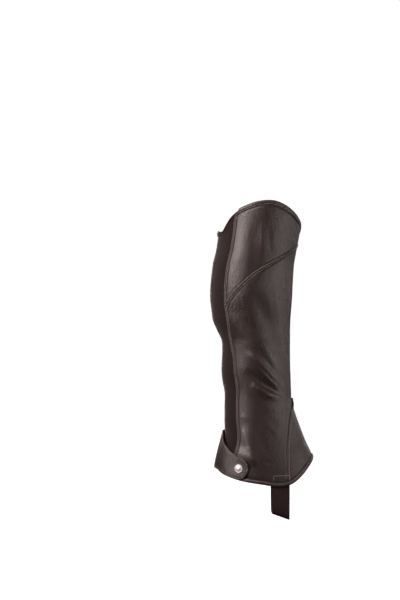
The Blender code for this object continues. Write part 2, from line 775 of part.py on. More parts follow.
def flap_grid():
    """Angles, heights and stand-off of the snap flap's outer face."""
    degrees, lower, upper, out_lower, out_upper = np.array(FLAP).T
    angles = np.radians(degrees)
    body = np.linspace(angles[0], angles[-1], FLAP_COLUMNS)
    low = smooth(angles, lower, body)
    high = smooth(angles, upper, body)
    out_low = smooth(angles, out_lower, body)
    out_high = smooth(angles, out_upper, body)
    round_it = np.radians(FLAP_END_STEPS)
    middle = (low[-1] + high[-1]) / 2
    half = (high[-1] - low[-1]) / 2
    reach = FLAP_END_ROUND / ANKLE_RADIUS
    body = np.concatenate([body, angles[-1] + reach * np.sin(round_it)])
    low = np.concatenate([low, middle - half * np.cos(round_it)])
    high = np.concatenate([high, middle + half * np.cos(round_it)])
    out_low = np.concatenate([out_low, np.full(len(round_it), FLAP_END_OUT)])
    out_high = np.concatenate([out_high, np.full(len(round_it), FLAP_END_OUT)])
    up = np.linspace(0, 1, FLAP_ROWS)[:, None]
    bulge_share = ramp(body, math.radians(FLAP_BULGE_END), math.radians(FLAP_BULGE_FULL))
    bulge = FLAP_BULGE * np.sin(math.pi * up) * bulge_share
    out = out_low * (1 - up) + out_high * up + bulge
    return body + 0 * up, low * (1 - up) + high * up, out


def flap(leather, metal, stud_metal):
    """The flap over the zip's end, with its snap's cap and the half under it."""
    angle, height, out = flap_grid()
    rows, columns = angle.shape
    ids = np.arange(rows * columns).reshape(rows, columns)
    faces = [
        [int(ids[j, i]), int(ids[j, i + 1]), int(ids[j + 1, i + 1]), int(ids[j + 1, i])]
        for j in range(rows - 1)
        for i in range(columns - 1)
    ]
    outer = form(angle, height, out).reshape(-1, 3)
    inner = form(angle, height, out - FLAP_WALL).reshape(-1, 3)
    points = np.concatenate([outer, inner])
    add_object("ankle_flap", points, closed(faces, rows * columns), leather)
    turned("snap_cap", SNAP_CAP, seat(SNAP_DEGREES, SNAP_HEIGHT, FLAP_END_OUT + SNAP_LIFT), metal)
    turned("snap_stud", SNAP_STUD, seat(SNAP_DEGREES, SNAP_HEIGHT, SNAP_STUD_OUT), stud_metal)


def strap(elastic):
    """The stirrup elastic, sewn inside the hem on both sides and passing under the boot."""
    shares, heights = np.array(STRAP_PATH).T
    x = np.linspace(STRAP_BACK, STRAP_BACK + STRAP_WIDTH, STRAP_COLUMNS)
    sheets = []
    for wall in (0.0, STRAP_WALL):
        sides = {}
        for side in (OUTER_SIDE, INNER_SIDE):
            rows = []
            for share, height in zip(shares, heights):
                sewn = min(max(height, STRAP_SEWN_END), STRAP_SEWN_TOP)
                y = form(angle_of(side, x, sewn), sewn, -(STRAP_TUCK + wall))[:, 1] * share
                drop = ramp(height, *STRAP_FREE) * STRAP_SLOPE * (x - x.mean())
                lift = wall * ramp(share, *STRAP_TURN)
                rows.append(np.stack([x, y, height - drop + lift], axis=-1))
            sides[side] = rows
        sheets.append(np.array(sides[OUTER_SIDE] + sides[INNER_SIDE][-2::-1]))
    rows, columns = sheets[0].shape[:2]
    ids = np.arange(rows * columns).reshape(rows, columns)
    faces = [
        [int(ids[j, i]), int(ids[j + 1, i]), int(ids[j + 1, i + 1]), int(ids[j, i + 1])]
        for j in range(rows - 1)
        for i in range(columns - 1)
    ]
    points = np.concatenate([s.reshape(-1, 3) for s in sheets])
    add_object("stirrup_strap", points, closed(faces, rows * columns), elastic)


def label(elastic):
    """The small woven label beside the elastic's seam, left bare."""
    far = EDGE.beside(-(EDGE_STRIP_WIDTH / 2 + LABEL_ASIDE))

    def bottom(angle):
        return np.full(np.shape(angle), LABEL_BOTTOM)

    def top(angle):
        return np.full(np.shape(angle), LABEL_TOP)

    grid = patch(far.beside(-LABEL_WIDTH).angle_at, far.angle_at, bottom, top, columns=2, rows=6)
    cloth("side_label", [grid], LABEL_THICK, elastic, LABEL_THICK + LABEL_OUT - ELASTIC_SET_BACK)


def clear_scene():
    for old in list(bpy.data.objects):
        bpy.data.objects.remove(old, do_unlink=True)


def build():
    clear_scene()
    leather = material("leather", LEATHER)
    binding = material("binding_leather", BINDING_LEATHER)
    elastic = material("elastic", ELASTIC)
    strap_elastic = material("strap_elastic", STRAP_ELASTIC)
    plastic = material("zip_plastic", ZIP_PLASTIC)
    dark_metal = material("dark_metal", DARK_METAL)
    silver = material("silver_metal", SILVER)
    outer_panels(leather)
    inner_side(leather)
    elastic_side(elastic)
    strips(binding)
    bindings(binding, elastic)
    zip_parts(strap_elastic, plastic, dark_metal)
    flap(leather, silver, dark_metal)
    strap(strap_elastic)
    label(elastic)


build()
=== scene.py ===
"""Looks of the leather half chap for the right leg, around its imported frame.

Sizes are in millimetres here, and meshes in metres. X points to the toe, Z is up and the leg's
outer side faces -Y. The worn leather's outer face is one form: egg-shaped sections with soft
folds. A place on it is an angle, which starts at the zip at the back and grows round the outer
side, over the shin and back along the inner side, and a height. Each sewn piece is a fine shell
over its own stretch of the form, with rolled edges and grooves where it is stitched.
"""
import math

import bmesh
import bpy
import numpy as np
from mathutils import Matrix, Vector, noise
from mathutils.kdtree import KDTree


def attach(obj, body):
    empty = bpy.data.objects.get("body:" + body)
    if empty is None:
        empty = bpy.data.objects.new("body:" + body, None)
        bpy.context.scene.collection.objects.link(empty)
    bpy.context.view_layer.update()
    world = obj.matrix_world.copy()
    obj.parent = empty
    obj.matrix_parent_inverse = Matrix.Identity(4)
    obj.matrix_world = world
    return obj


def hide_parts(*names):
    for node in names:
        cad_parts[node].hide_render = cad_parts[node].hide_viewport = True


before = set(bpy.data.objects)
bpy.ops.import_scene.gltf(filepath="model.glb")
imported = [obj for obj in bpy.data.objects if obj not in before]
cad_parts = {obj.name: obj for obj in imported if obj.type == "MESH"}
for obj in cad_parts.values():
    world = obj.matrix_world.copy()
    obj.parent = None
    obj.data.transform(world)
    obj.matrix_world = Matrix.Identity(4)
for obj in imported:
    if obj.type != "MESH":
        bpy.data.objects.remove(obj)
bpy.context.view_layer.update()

MM = 0.001
TURN = 2 * math.pi
OUTER_SIDE = -1
INNER_SIDE = 1

# Thicknesses and widths of what is cut and sewn
LEATHER_WALL = 1.8
ELASTIC_WALL = 1.3
TAPE_WALL = 0.8
SEAM_GAP = 0.35
ELASTIC_SET_BACK = 0.5
TAPE_SET_BACK = 0.9
STRIP_PROUD = 0.8
TOP_BINDING_WIDTH = 7.4
TOP_BINDING_THICK = 3.8
ELASTIC_BINDING_WIDTH = 3.0
ELASTIC_BINDING_THICK = 2.4
ELASTIC_BINDING_PROUD = 0.3
HEM_BINDING_WIDTH = 5.6
HEM_BINDING_THICK = 4.0
BINDING_PROUD = 1.1
EDGE_STRIP_WIDTH = 4.8
EDGE_STRIP_RISE = 1.5
INNER_STRIP_WIDTH = 7.0
ZIP_CHAIN_WIDTH = 4.8
ZIP_TAPE_WIDTH = 4.6
BESIDE_ZIP = ZIP_CHAIN_WIDTH / 2 + ZIP_TAPE_WIDTH + 2 * SEAM_GAP
STRAP_WIDTH = 26.6
STRAP_WALL = 1.6
STRAP_BACK = 29.8
STRAP_TUCK = 3.3
STRAP_SLOPE = 0.36

# How square a binding's section is, across it and through it: 1 is round
BINDING_ROUND_WIDE = 0.6
BINDING_ROUND_DEEP = 0.75

# Where the bindings start and end on either side of the zip, and the knob at the top
# binding's end, in radians round the leg
ELASTIC_BINDING_START = 0.14
TOP_BINDING_END = 0.07
HEM_BINDING_END = 0.09
KNOB_START = 0.30
KNOB_FULL = 0.16
KNOB_SWELL = 0.45
PAST_ZIP = 0.05

# The form's sums: a small step, heights that count as equal, the rounds that bring two
# lines to their meeting and a middling radius of the leg
SMALL = 1e-3
TOUCH = 0.01
MEETING_ROUNDS = 60
MIDDLE_RADIUS = 55.0

# The worn form, from the top down: the back and front of the outline seen from the side,
# half the width seen from the front, and how much narrower the shin is than the calf.
# Columns: height, back, front, half_width, taper
SECTIONS = (
    (142, -50.5, 77.5, 57, 0.06),
    (107, -51, 75.2, 57.5, 0.07),
    (90, -52, 73, 57.5, 0.08),
    (64, -55, 68.3, 57.5, 0.10),
    (46, -59.2, 65, 57.3, 0.12),
    (18, -62.7, 63, 56.7, 0.13),
    (-12, -63.8, 61.3, 55.5, 0.13),
    (-31, -61.5, 59.8, 53.5, 0.12),
    (-43, -59.8, 59, 52.2, 0.12),
    (-58, -53.6, 58.5, 50.5, 0.11),
    (-73, -46.7, 58.2, 49.2, 0.10),
    (-89, -45.6, 58.1, 48, 0.10),
    (-122, -46.8, 58.9, 46.2, 0.10),
    (-135, -45.4, 59.2, 45.2, 0.10),
    (-153, -41.8, 59.8, 44.2, 0.11),
    (-165, -41.5, 60.3, 44, 0.12),
    (-172, -41.8, 61.8, 44, 0.13),
    (-184, -42.1, 65.6, 44, 0.16),
    (-196, -42.4, 69.8, 44, 0.19),
    (-211, -42, 75.6, 44.3, 0.22),
    (-226, -43.8, 81.5, 45, 0.24),
    (-244, -47.5, 90.5, 46.5, 0.26),
    (-260, -51.5, 97.5, 47.5, 0.27),
    (-280, -55.5, 104, 48.5, 0.28),
    (-302, -57.5, 110, 49, 0.28),
)

# Folds pressed into the leather by wear, each a soft ridge (rise above 0) or trough along a
# curve through three points of the side view.
# Columns: x0, z0, x1, z1, x2, z2, rise, width
FOLDS = {
    OUTER_SIDE: (
        (-8, -86, 13, -115, 54, -158, 2.5, 6),
        (-10, -116, 12, -137, 52, -159, -2.4, 6.4),
        (-2, -137, 17, -150, 54, -168, 2.3, 6),
        (-10, -156, 18, -192, 44, -236, -0.7, 13),
        (-2, 6, 24, -46, 48, -112, -2.4, 12),
        (14, -74, 26, -98, 46, -130, 1, 5),
        (-16, -202, -6, -231, 8, -264, 1.7, 7),
        (-30, -240, -10, -249, 10, -262, 1.8, 7.5),
        (-6, -194, 11, -222, 20, -252, -1.1, 6.5),
    ),
    INNER_SIDE: (
        (-44, -120, -24, -92, 10, -58, 2.4, 6.5),
        (-36, -128, -8, -112, 30, -96, -2.4, 6.5),
        (-32, -142, 0, -126, 34, -106, 2.2, 6),
        (-30, -158, 4, -148, 38, -136, -1.8, 7),
        (-40, -222, -30, -202, -18, -180, 2, 6),
        (-26, -226, -14, -204, 0, -184, -1.8, 7),
    ),
}
# Smaller creases, seen only in the fine shells
CREASES = {
    OUTER_SIDE: (
        (2, 118, 3, 62, 2, 16, -1.3, 8),
        (17, 112, 15, 84, 18, 50, 0.7, 3),
        (28, 104, 26, 78, 30, 52, -0.7, 3.2),
        (46, 110, 52, 92, 64, 78, -0.9, 4),
        (50, 96, 58, 82, 67, 66, 0.8, 3.5),
        (-18, 96, -20, 66, -26, 34, 0.7, 8),
        (34, 20, 38, -14, 44, -60, 0.9, 5),
        (-6, -97, 20, -123, 54, -158, -1.2, 2),
        (1, -139, 7, -146, 15, -152, -0.7, 1.6),
        (19, -67, 30, -86, 39, -96, 0.6, 3),
        (-18, -184, -14, -190, -9, -197, 0.6, 4.5),
        (0, -92, 21, -114, 42, -137, 1.2, 3.2),
        (10, -198, 28, -206, 44, -222, 0.9, 6),
        (18, -255, 24, -257.5, 31, -258, -0.5, 2.4),
        (66, -219.5, 73, -218.5, 82, -216.5, -0.7, 1.6),
        (-40, 2, -46, 2.5, -52, 1, -0.6, 1.6),
        (-34, -206, -38, -207.5, -42, -207, -0.5, 1.8),
    ),
    INNER_SIDE: (
        (-40, -66, -12, -78, 26, -66, -0.9, 4),
        (-36, -88, -6, -98, 30, -84, 0.8, 4),
        (-24, -120, 4, -126, 32, -118, -0.9, 3.4),
        (-8, 60, -12, 20, -4, -24, -1, 9),
        (18, 64, 16, 30, 20, -10, 0.8, 6),
    ),
}
FOLD_STEPS = 64
FOLD_FADE = (0.12, 0.55)
DRIFT_SCALES = ((46, 0.55), (17, 0.16))

# Seams and edges, as points of the side view (x, height)
TOP_OUTER = (
    (-51.5, 89), (-45.1, 91.8), (-39.8, 101), (-33.7, 110.5), (-23, 120.5), (-9.2, 127.6),
    (6.1, 132.8), (21.7, 135.1), (32.6, 134.6), (45.1, 130.4), (59.7, 120.9), (69.6, 110.2),
)
TOP_FRONT = 97.0
TOP_INNER = ((66, 84), (43, 78), (12, 80), (-18, 84), (-46, 89))
HEM_OUTER = (
    (-54, -266.5), (-40.9, -275.5), (-13, -284.1), (14.8, -288.6), (38.9, -292),
    (57.4, -289.2), (66.6, -283.5), (76, -274.6), (85.7, -262.4),
)
HEM_FRONT = -248.5
HEM_INNER = (
    (85, -258), (74, -267), (60, -276), (48, -284), (36, -289), (14, -288),
    (-13, -284), (-40, -275.5), (-54, -266.5),
)
ELASTIC_EDGE = (
    (-23.6, 128), (-25.7, 110), (-27.4, 95), (-29.5, 79.6), (-32.4, 64), (-35.8, 49),
    (-38.2, 33.7), (-40.1, 18.4), (-41, 3), (-41.4, -12.2), (-40.2, -27), (-37.3, -43),
    (-32.3, -73.4), (-27.4, -104), (-24.3, -135), (-23, -165), (-22.7, -196),
    (-21.3, -226), (-24, -240), (-31, -256), (-41, -272), (-48, -284),
)
SPANISH_OUTER = (
    (-52, -57), (-48.5, -46), (-45, -36), (-41.5, -27), (-37, -14.5), (-24.9, 2.3),
    (-12.5, 14.8), (0, 25.7), (12.4, 34.3), (24.8, 41.3), (37.3, 48.3), (49.7, 55.4),
    (61, 63),
)
SPANISH_FRONT = 71.0
SPANISH_INNER = ((62, 72), (50, 68), (40, 62), (30, 56))
SPANISH_WIDTHS = ((-60, 7), (-10, 6), (60, 4.2))
INNER_SEAM = ((40.5, 128), (40.5, 60), (40, -60), (40, -170), (39, -300))
GUSSET_TIP = -167.0
GUSSET_OUTER = (
    (60.8, -168), (58.8, -184), (56.6, -199.5), (54.4, -220), (53.2, -240), (52.8, -262),
    (54, -284), (55, -300),
)
GUSSET_INNER = (
    (60.8, -168), (59.4, -184), (58.6, -202), (58, -222), (58.4, -246), (59.4, -272),
    (60, -300),
)
GUSSET_POINT_TOP = -162.0
GUSSET_POINT_HALF = 1.7
# The leg's radius at the gusset's point, how thick the point is under the shin's level, and half of
# the painted shade under it, in radians
GUSSET_POINT_RADIUS = 30.0
GUSSET_SEAT = 1.2
GUSSET_TIP_TURN = 0.2
# Columns: height, how far the gusset stands out
GUSSET_OUT = ((-300, -0.3), (-179, -0.3), (-171, 2.4), (-150, 2.7))

# The snap flap, from its sewn edge on the inner side round the back to the snap.
# Columns: degrees, lower edge, upper edge, stand-off at the lower and at the upper edge
FLAP = (
    (-15.0, -268.5, -211.0, 3.5, 2.3),
    (-6.0, -268.5, -211.0, 4.2, 2.7),
    (4.0, -268.5, -211.5, 5.4, 3.6),
    (14.0, -269.5, -218.5, 5.6, 5.0),
    (26.0, -272.0, -230.0, 5.2, 6.2),
    (36.0, -276.5, -238.5, 4.4, 5.0),
    (45.0, -280.5, -245.0, 3.9, 4.0),
    (55.5, -284.0, -250.5, 3.9, 3.9),
)
FLAP_BULGE = 1.6
FLAP_WALL = 1.9
FLAP_END_ROUND = 15.5
ANKLE_RADIUS = 76.0
# Where the flap starts and ends, the degrees between which its bulge fades, and its mesh
FLAP_START = math.radians(FLAP[0][0])
FLAP_END = math.radians(FLAP[-1][0])
FLAP_BULGE_FADE = (42.0, 10.0)
FLAP_COLUMNS = 64
FLAP_ROWS = 26
FLAP_END_DEGREES = (6, 12, 18, 24, 30, 36, 42, 48, 54, 60, 66, 72, 78, 82, 85, 87.5)
FLAP_EDGE_SAMPLES = 90
FLAP_END_SAMPLES = 50
FLAP_RIM_STEP = 0.3

# The snap on the flap's end, and the dish that it presses into the leather
SNAP_DEGREES = 55.5
SNAP_HEIGHT = -267.2
SNAP_OUT = 4.3
SNAP_DISH_DEPTH = 0.35
SNAP_DISH_WIDTH = 8.5
SNAP_SIDES = 72
# Columns: radius, height
SNAP_PROFILE = (
    (5.6, -0.5), (6.2, -0.3), (6.45, 0.05), (6.45, 0.45), (6.2, 0.8), (5.8, 0.98), (5.4, 1.0),
    (5.1, 0.86), (4.85, 0.8), (4.6, 0.9), (4.2, 1.1), (3.6, 1.3), (2.9, 1.45), (2.2, 1.55),
    (1.4, 1.62), (0.7, 1.66), (0.2, 1.67),
)

# The label's plain patch on the elastic
LABEL_TOP = 69.0
LABEL_BOTTOM = 46.0
LABEL_WIDTH = 4.6
LABEL_THICK = 0.45
LABEL_OUT = 0.35
LABEL_BESIDE = 0.8

# The zip: the heights of its tapes' and chain's ends, how far the tapes reach under the panels and
# stop short of the middle, and the teeth
TAPE_TOP = 83.5
CHAIN_TOP = 82.5
CHAIN_START = 1.5
TAPE_UNDER = 1.6
TAPE_FROM_MIDDLE = 0.12
TOOTH_PITCH = 0.92
TOOTH_LENGTH = 3.3
TOOTH_RADIUS = 0.46
TOOTH_SHIFT = 0.75
TOOTH_TILT = 0.22
TOOTH_OUT = -0.45
# Blocks of the zip's box and slider. Columns: width, length, depth, rounding, and x, y and z
BOX_BLOCKS = (
    (7.4, 9.0, 2.2, 0.5, 0.0, 0.0, 0.0),
    (5.0, 6.2, 0.7, 0.3, 0.0, 0.0, 1.9),
    (1.1, 8.2, 0.5, 0.2, 2.9, 0.0, 2.0),
    (1.1, 8.2, 0.5, 0.2, -2.9, 0.0, 2.0),
)
SLIDER_BLOCKS = (
    (8.6, 11.0, 1.9, 0.6, 0.0, 0.0, 0.0),
    (2.6, 6.0, 2.0, 0.5, 0.0, 0.0, 0.9),
    (5.0, 17.0, 1.3, 0.3, 0.0, -12.0, 0.5),
    (3.0, 9.0, 0.4, 0.15, 0.0, -14.0, 1.6),
)
# Columns: node, height, how far out its base lies, blocks
ZIP_PIECES = (
    ("zip_box", 88.7, -1.6, BOX_BLOCKS),
    ("zip_slider", -239.0, 0.55, SLIDER_BLOCKS),
)
BLOCK_SEGMENTS = 3
BLOCK_SHARP = math.radians(35)

# The strap's path from its sewn end to under the boot. Columns: share of the leg's half width,
# height
STRAP_PATH = (
    (1.0, -268.0), (1.0, -282.0), (1.0, -296.0), (0.985, -310.0), (0.94, -323.0), (0.86, -333.0),
    (0.74, -339.5), (0.55, -342.0), (0.28, -342.4), (0.0, -342.4),
)
# Heights between which it is sewn in and over which its slope comes in, shares over which it
# turns level, its mesh, and its ribs and thinner edges
STRAP_SEWN_TOP = -268.0
STRAP_SEWN_END = -296.0
STRAP_FREE = (-300.0, -330.0)
STRAP_TURN = (0.95, 0.6)
STRAP_ROWS = 90
STRAP_COLUMNS = 67
STRAP_RIB = 0.10
STRAP_RIB_PITCH = 1.9
STRAP_EDGE_DROP = 0.25
STRAP_EDGE_POWER = 14
# Lines sewn through the panel where the strap is held. Columns: x and height of start and end
STRAP_BOX = (
    (31.4, -278.2, 56.8, -278.0),
    (32.0, -279.2, 32.2, -286.4),
    (56.2, -279.2, 56.0, -285.0),
)
BOX_SAMPLES = 12

# The fine shells: the places of the close rows at their edges, the step along a line, the roll of a
# cut edge and the painted shade along it, the painted highlight along the flap's rolled rim, how
# much a fold's rise paints its ridge lighter as highlight and wear and its trough darker as shade,
# and the groove that a row of stitches pulls
EDGE_PLACES = (0.0, 0.2, 0.5, 0.9, 1.4, 2.0, 2.7, 3.6)
LINE_STEP = 0.5
ROLL_DEPTH = 0.85
ROLL_REACH = 1.3
PAINTED_EDGE_SHADE = -1.0
PAINTED_RIM_HIGHLIGHT = 0.55
FOLD_SHADE_AND_WEAR = 0.10
GROOVE_DEPTH = 0.30
GROOVE_WIDTH = 0.75
# Lines along a sewn-down strip or edge: distance out of its edge, depth and width, and how light it
# is (above 0: painted highlight and wear) or dark (below 0: painted shade along the pressed lines
# and under the gusset's point, and a darker middle on the strips)
PRESSED_ABOVE = (0.4, 0.2, 0.7, -0.7)
PRESSED_BELOW = (0.5, 0.25, 1.3, -1.7)
PRESSED_BESIDE = (0.4, 0.2, 0.7, -0.9)
PRESSED_AT_SLIT = (0.5, 0.9, 1.2, -1.0)
PRESSED_BY_BINDING = (0.5, 0.5, 0.9, -1.0)
LIT_EDGE = (-0.5, 0.0, 0.6, 1.6)
DARK_MIDDLE = (0.0, 0.0, 2.6, -1.1)
PAINTED_TIP_SHADE = (0.0, 0.0, 5.0, -1.5)
PUCKER_PITCH = 8.5
PUCKER_RISE = 0.10
PUCKER_REACH = 4.5
PUCKER_WANDER = 1.7
PUCKER_WANDER_RUN = 31.0
# How far a piece reaches into a binding, and under a strip or a seam
IN_BINDING = 1.6
ELASTIC_IN_BINDING = 0.6
UNDER_STRIP = 0.3
UNDER_SEAM = 0.5

# Columns and rows of each piece's grid
GRID = {
    "spanish_top": (84, 44),
    "outer_above": (66, 110),
    "shin_above": (22, 110),
    "outer_below": (66, 62),
    "shin_below": (22, 62),
    "gusset": (44, 74),
    "inner_panel": (58, 190),
    "elastic": (26, 300),
    "elastic_edge_strip": (4, 320),
    "inner_seam_strip": (6, 320),
    "spanish_strip": (240, 4),
    "zip_tape": (6, 200),
    "label": (8, 30),
}
# The rough grid by which a piece is measured, the steps round from the zip, and the angle from
# which an edge is sharp
ROUGH_CELLS = 9
ZIP_SAMPLES = 24
SHARP = math.radians(50)

# The elastic's puckers beside its sewn edges: rises of the fine, the slow and the lasting waves,
# their runs, and where they fade
GATHER_FINE = 0.22
GATHER_SLOW = 0.16
GATHER_LASTING = 0.10
GATHER_RUN = 1.35
GATHER_WANDER = 2.2
GATHER_WANDER_RUN = 17.0
GATHER_SLOW_RUNS = (5.2, 9.0)
GATHER_FROM_EDGE = 3.0
GATHER_FROM_ZIP = 7.0
GATHER_REACH = 6.0
GATHER_STEP = 1.0

# The bindings' meshes: sides, step, the groove under their stitches, their tucked ends, waves of
# unevenness as rise and runs, the painted highlight on their outer crown and the painted shade at
# their edges and underside, and the rings that a slant cut bends
BEAD_SIDES = 28
BEAD_STEP = 1.1
BEAD_GROOVE_DEPTH = 0.45
BEAD_GROOVE_WIDTH = 0.55
BEAD_END_START = 0.35
BEAD_END_RINGS = 2.6
BEAD_END_WIDTH = 0.75
BEAD_WAVE = (0.05, 1.9, 7.3)
BEAD_SLOW_WAVE = (0.04, 13.0)
BEAD_MARK = 1.4
BEAD_MARK_DARK = 0.45
CUT_RINGS = 8

# Stitches: sizes, how deep thread sinks in its groove and each row's distance from its edge
STITCH_PITCH = 3.0
STITCH_LENGTH = 2.2
STITCH_RADIUS = 0.42
BOX_STITCH_PITCH = 1.9
BOX_STITCH_LENGTH = 1.7
# A stitch's outline. Columns: place along its half length, then radius and lift, as shares
STITCH_OUTLINE = (
    (-1.0, 0.4, -1.3),
    (-0.82, 0.85, -0.35),
    (-0.4, 1.0, 0.25),
    (0.4, 1.0, 0.25),
    (0.82, 0.85, -0.35),
    (1.0, 0.4, -1.3),
)
STITCH_SIDES = 6
STITCH_AHEAD = 0.6
ROW_SAMPLES = 300
ROW_INSET = 1.0
THREAD_OUT = -GROOVE_DEPTH * 0.4
EDGE_STITCH_OUT = 1.2
INNER_STITCH_OUT = 2.1
SPANISH_STITCH_IN = 1.0
GUSSET_STITCH_IN = 3.4
GUSSET_STITCH_TOP = -182.0
ZIP_STITCH_OUT = 10.4
FLAP_STITCH_IN = 2.3
TOP_STITCH_DOWN = 2.3
TOP_STITCH_PROUD = 0.55
HEM_STITCH_UP = 1.5
HEM_STITCH_PROUD = 0.62
# Where rows round the leg start and end: heights at the edge strip and the inner seam, and
# angles inside them or from the zip
SPANISH_ROW_HEIGHTS = (0.0, 60.0)
SPANISH_ROW_INSETS = (0.02, 0.06)
TOP_ROW_HEIGHT = 118.0
TOP_ROW_INSETS = (0.06, 0.12)
HEM_ROW_INSET = 0.14

# The photograph's frame, in the plane through the leg's middle
MM_A_PIXEL = 1.53
PHOTO_CENTRE = (-79.6, -12.2)
PHOTO_ROWS = 600
CAMERA_AWAY = 3800.0
FLOOR_HEIGHT = -353.0
CLIP_END = 200.0

# The plain surround: its sizes in metres, its mesh and how pale it is
FLOOR_REACH = 14.0
FLOOR_SIDES = 96
DOME_REACH = 0.98
DOME_CELLS = (48, 24)
GLOW_REACH = (0.6, 2.2)
PALE_SHADE = 0.34
PALE_NEAR = 0.84
PALE_FAR = 1.0
# The lights. Columns: name, azimuth in degrees from -Y towards +X, elevation, distance, width,
# height (m), watts, height aimed at (m) and spread in degrees
LIGHTS = (
    ("key_left", -47.0, 20.0, 1.6, 1.3, 1.0, 12.8, 0.14, 70.0),
    ("fill_right", 68.0, -3.0, 1.6, 1.7, 0.5, 3.1, 0.0, 80.0),
    ("side_right", 118.0, -2.0, 1.8, 1.1, 0.7, 1.8, 0.0, 180.0),
    ("back_left", -140.0, 28.0, 1.8, 0.9, 1.2, 18.0, 0.0, 180.0),
    ("back_right", 140.0, 28.0, 1.8, 0.9, 1.2, 18.0, 0.0, 180.0),
    ("above", 0.0, 84.0, 2.4, 1.6, 1.6, 9.5, 0.0, 180.0),
)
LIGHT_TONE = (1.0, 0.865, 0.85)
WHITE = (1.0, 1.0, 1.0, 1.0)
WORLD_STRENGTH = 0.05

# Linear colours
LEATHER_TONE = (0.0152, 0.0080, 0.0070)
BINDING_TONE = (0.0165, 0.0090, 0.0080)
FLESH_TONE = (0.085, 0.056, 0.043)
ELASTIC_TONE = (0.0107, 0.0057, 0.0052)
STRAP_TONE = (0.0215, 0.0120, 0.0112)
THREAD_TONE = (0.18, 0.145, 0.134)
ZIP_TONE = (0.016, 0.011, 0.010)
NICKEL_TONE = (0.42, 0.405, 0.40)
BRONZE_TONE = (0.16, 0.13, 0.115)


def smooth(places, values, at):
    """A cubic through a table's points, each point's slope taken from its neighbours."""
    slopes = np.gradient(values, places)
    at = np.clip(at, places[0], places[-1])
    low = np.clip(np.searchsorted(places, at) - 1, 0, len(places) - 2)
    step = places[low + 1] - places[low]
    t = (at - places[low]) / step
    rise = values[low + 1] - values[low]
    start = slopes[low] * step
    end = slopes[low + 1] * step
    bend = 3 * rise - 2 * start - end
    return values[low] + t * (start + t * (bend + t * (start + end - 2 * rise)))


def rising(table):
    """A table's columns as arrays, with its first column in rising order."""
    columns = np.array(table, float).T
    return columns[:, np.argsort(columns[0])]


SECTION_TABLE = rising(SECTIONS)


def section(height):
    """Middle, reach, half width and taper of the egg-shaped section at a height."""
    back, front, half, taper = (smooth(SECTION_TABLE[0], c, height) for c in SECTION_TABLE[1:])
    return (back + front) / 2, (front - back) / 2, half, taper


def bare_form(angle, height):
    middle, reach, half, taper = section(height)
    x = middle - reach * np.cos(angle)
    y = -half * np.sin(angle) * (1 + taper * np.cos(angle))
    return np.stack([x, y, height + 0 * x], axis=-1)


def unit(vectors):
    return vectors / np.linalg.norm(vectors, axis=-1, keepdims=True)


def facing(angle, height):
    """The form's outward direction, without its folds."""
    round_it = bare_form(angle + SMALL, height) - bare_form(angle - SMALL, height)
    up = bare_form(angle, height + SMALL) - bare_form(angle, height - SMALL)
    return unit(np.cross(round_it, up))


def ramp(value, low, high):
    t = np.clip((value - low) / (high - low), 0, 1)
    return t * t * (3 - 2 * t)


def fold_rise(points, half):
    """How far the folds and creases lift the leather at points of the bare form."""
    total = np.zeros(points.shape[:-1])
    along = np.linspace(0, 1, FOLD_STEPS + 1)
    ahead = along[:, None]
    a, b, c = (1 - ahead) ** 2, 2 * ahead * (1 - ahead), ahead**2
    for side in (OUTER_SIDE, INNER_SIDE):
        for *places, rise, width in FOLDS[side] + CREASES[side]:
            first, bend, last = np.reshape(places, (3, 2))
            line = a * first + b * (2 * bend - (first + last) / 2) + c * last
            near = np.linalg.norm(points[..., [0, 2]] - bend, axis=-1)
            near = near < np.linalg.norm(last - first) + 3 * width
            away = np.linalg.norm(points[near][:, None, [0, 2]] - line, axis=-1)
            strength = ramp(np.sin(math.pi * along[away.argmin(axis=-1)]), 0, 1)
            on_side = ramp(side * points[near][:, 1] / half[near], *FOLD_FADE)
            total[near] += rise * strength * on_side * np.exp(-((away.min(axis=-1) / width) ** 2))
    return total


def drift(points):
    """The leather's slow unevenness, the same for every piece at a place."""
    total = np.zeros(points.shape[:-1])
    for place in np.ndindex(total.shape):
        point = Vector(points[place])
        for size, rise in DRIFT_SCALES:
            total[place] += rise * noise.noise(point / size)
    return total


def form(angle, height, out=0.0):
    """Points of the worn leather's outer face, or out of it along its facing."""
    angle, height = np.broadcast_arrays(np.asarray(angle, float), np.asarray(height, float))
    points = bare_form(angle, height)
    lift = fold_rise(points, section(height)[2]) + drift(points) + out
    return points + lift[..., None] * facing(angle, height)


def angle_of(side, x, height):
    """The angle of a side-view point."""
    middle, reach, _, _ = section(np.asarray(height, float))
    angle = np.arccos(np.clip((middle - x) / reach, -1, 1))
    return angle if side == OUTER_SIDE else TURN - angle


class Seam:
    """A line on the form, through points of angle and height."""

    SAMPLES = 160

    def __init__(self, angles, heights):
        self.angles = np.array(angles, float)
        self.heights = np.array(heights, float)

    @classmethod
    def through(cls, angles, heights):
        """A smooth line through a few points."""
        steps = np.hypot(np.diff(angles) * MIDDLE_RADIUS, np.diff(heights))
        along = np.concatenate([[0], np.cumsum(steps)])
        fine = np.linspace(0, along[-1], cls.SAMPLES)
        return cls(smooth(along, np.array(angles), fine), smooth(along, np.array(heights), fine))

    def beside(self, distance):
        """The line moved sideways on the form, to the left of its direction."""
        ahead = bare_form(self.angles + SMALL, self.heights)
        behind = bare_form(self.angles - SMALL, self.heights)
        scale = np.linalg.norm(ahead - behind, axis=-1) / (2 * SMALL)
        across = np.gradient(self.angles) * scale
        up = np.gradient(self.heights)
        length = np.hypot(across, up)
        moved = np.asarray(distance) / length
        return Seam(self.angles - up * moved / scale, self.heights + across * moved)

    def angle_at(self, height):
        order = np.argsort(self.heights)
        return np.interp(height, self.heights[order], self.angles[order])

    def height_at(self, angle):
        order = np.argsort(self.angles)
        return np.interp(angle, self.angles[order], self.heights[order])


def upright(side, table):
    """A seam that runs down the leg on one side."""
    return Seam.through(
        [float(angle_of(side, x, z)) for x, z in table],
        [z for _, z in table],
    )


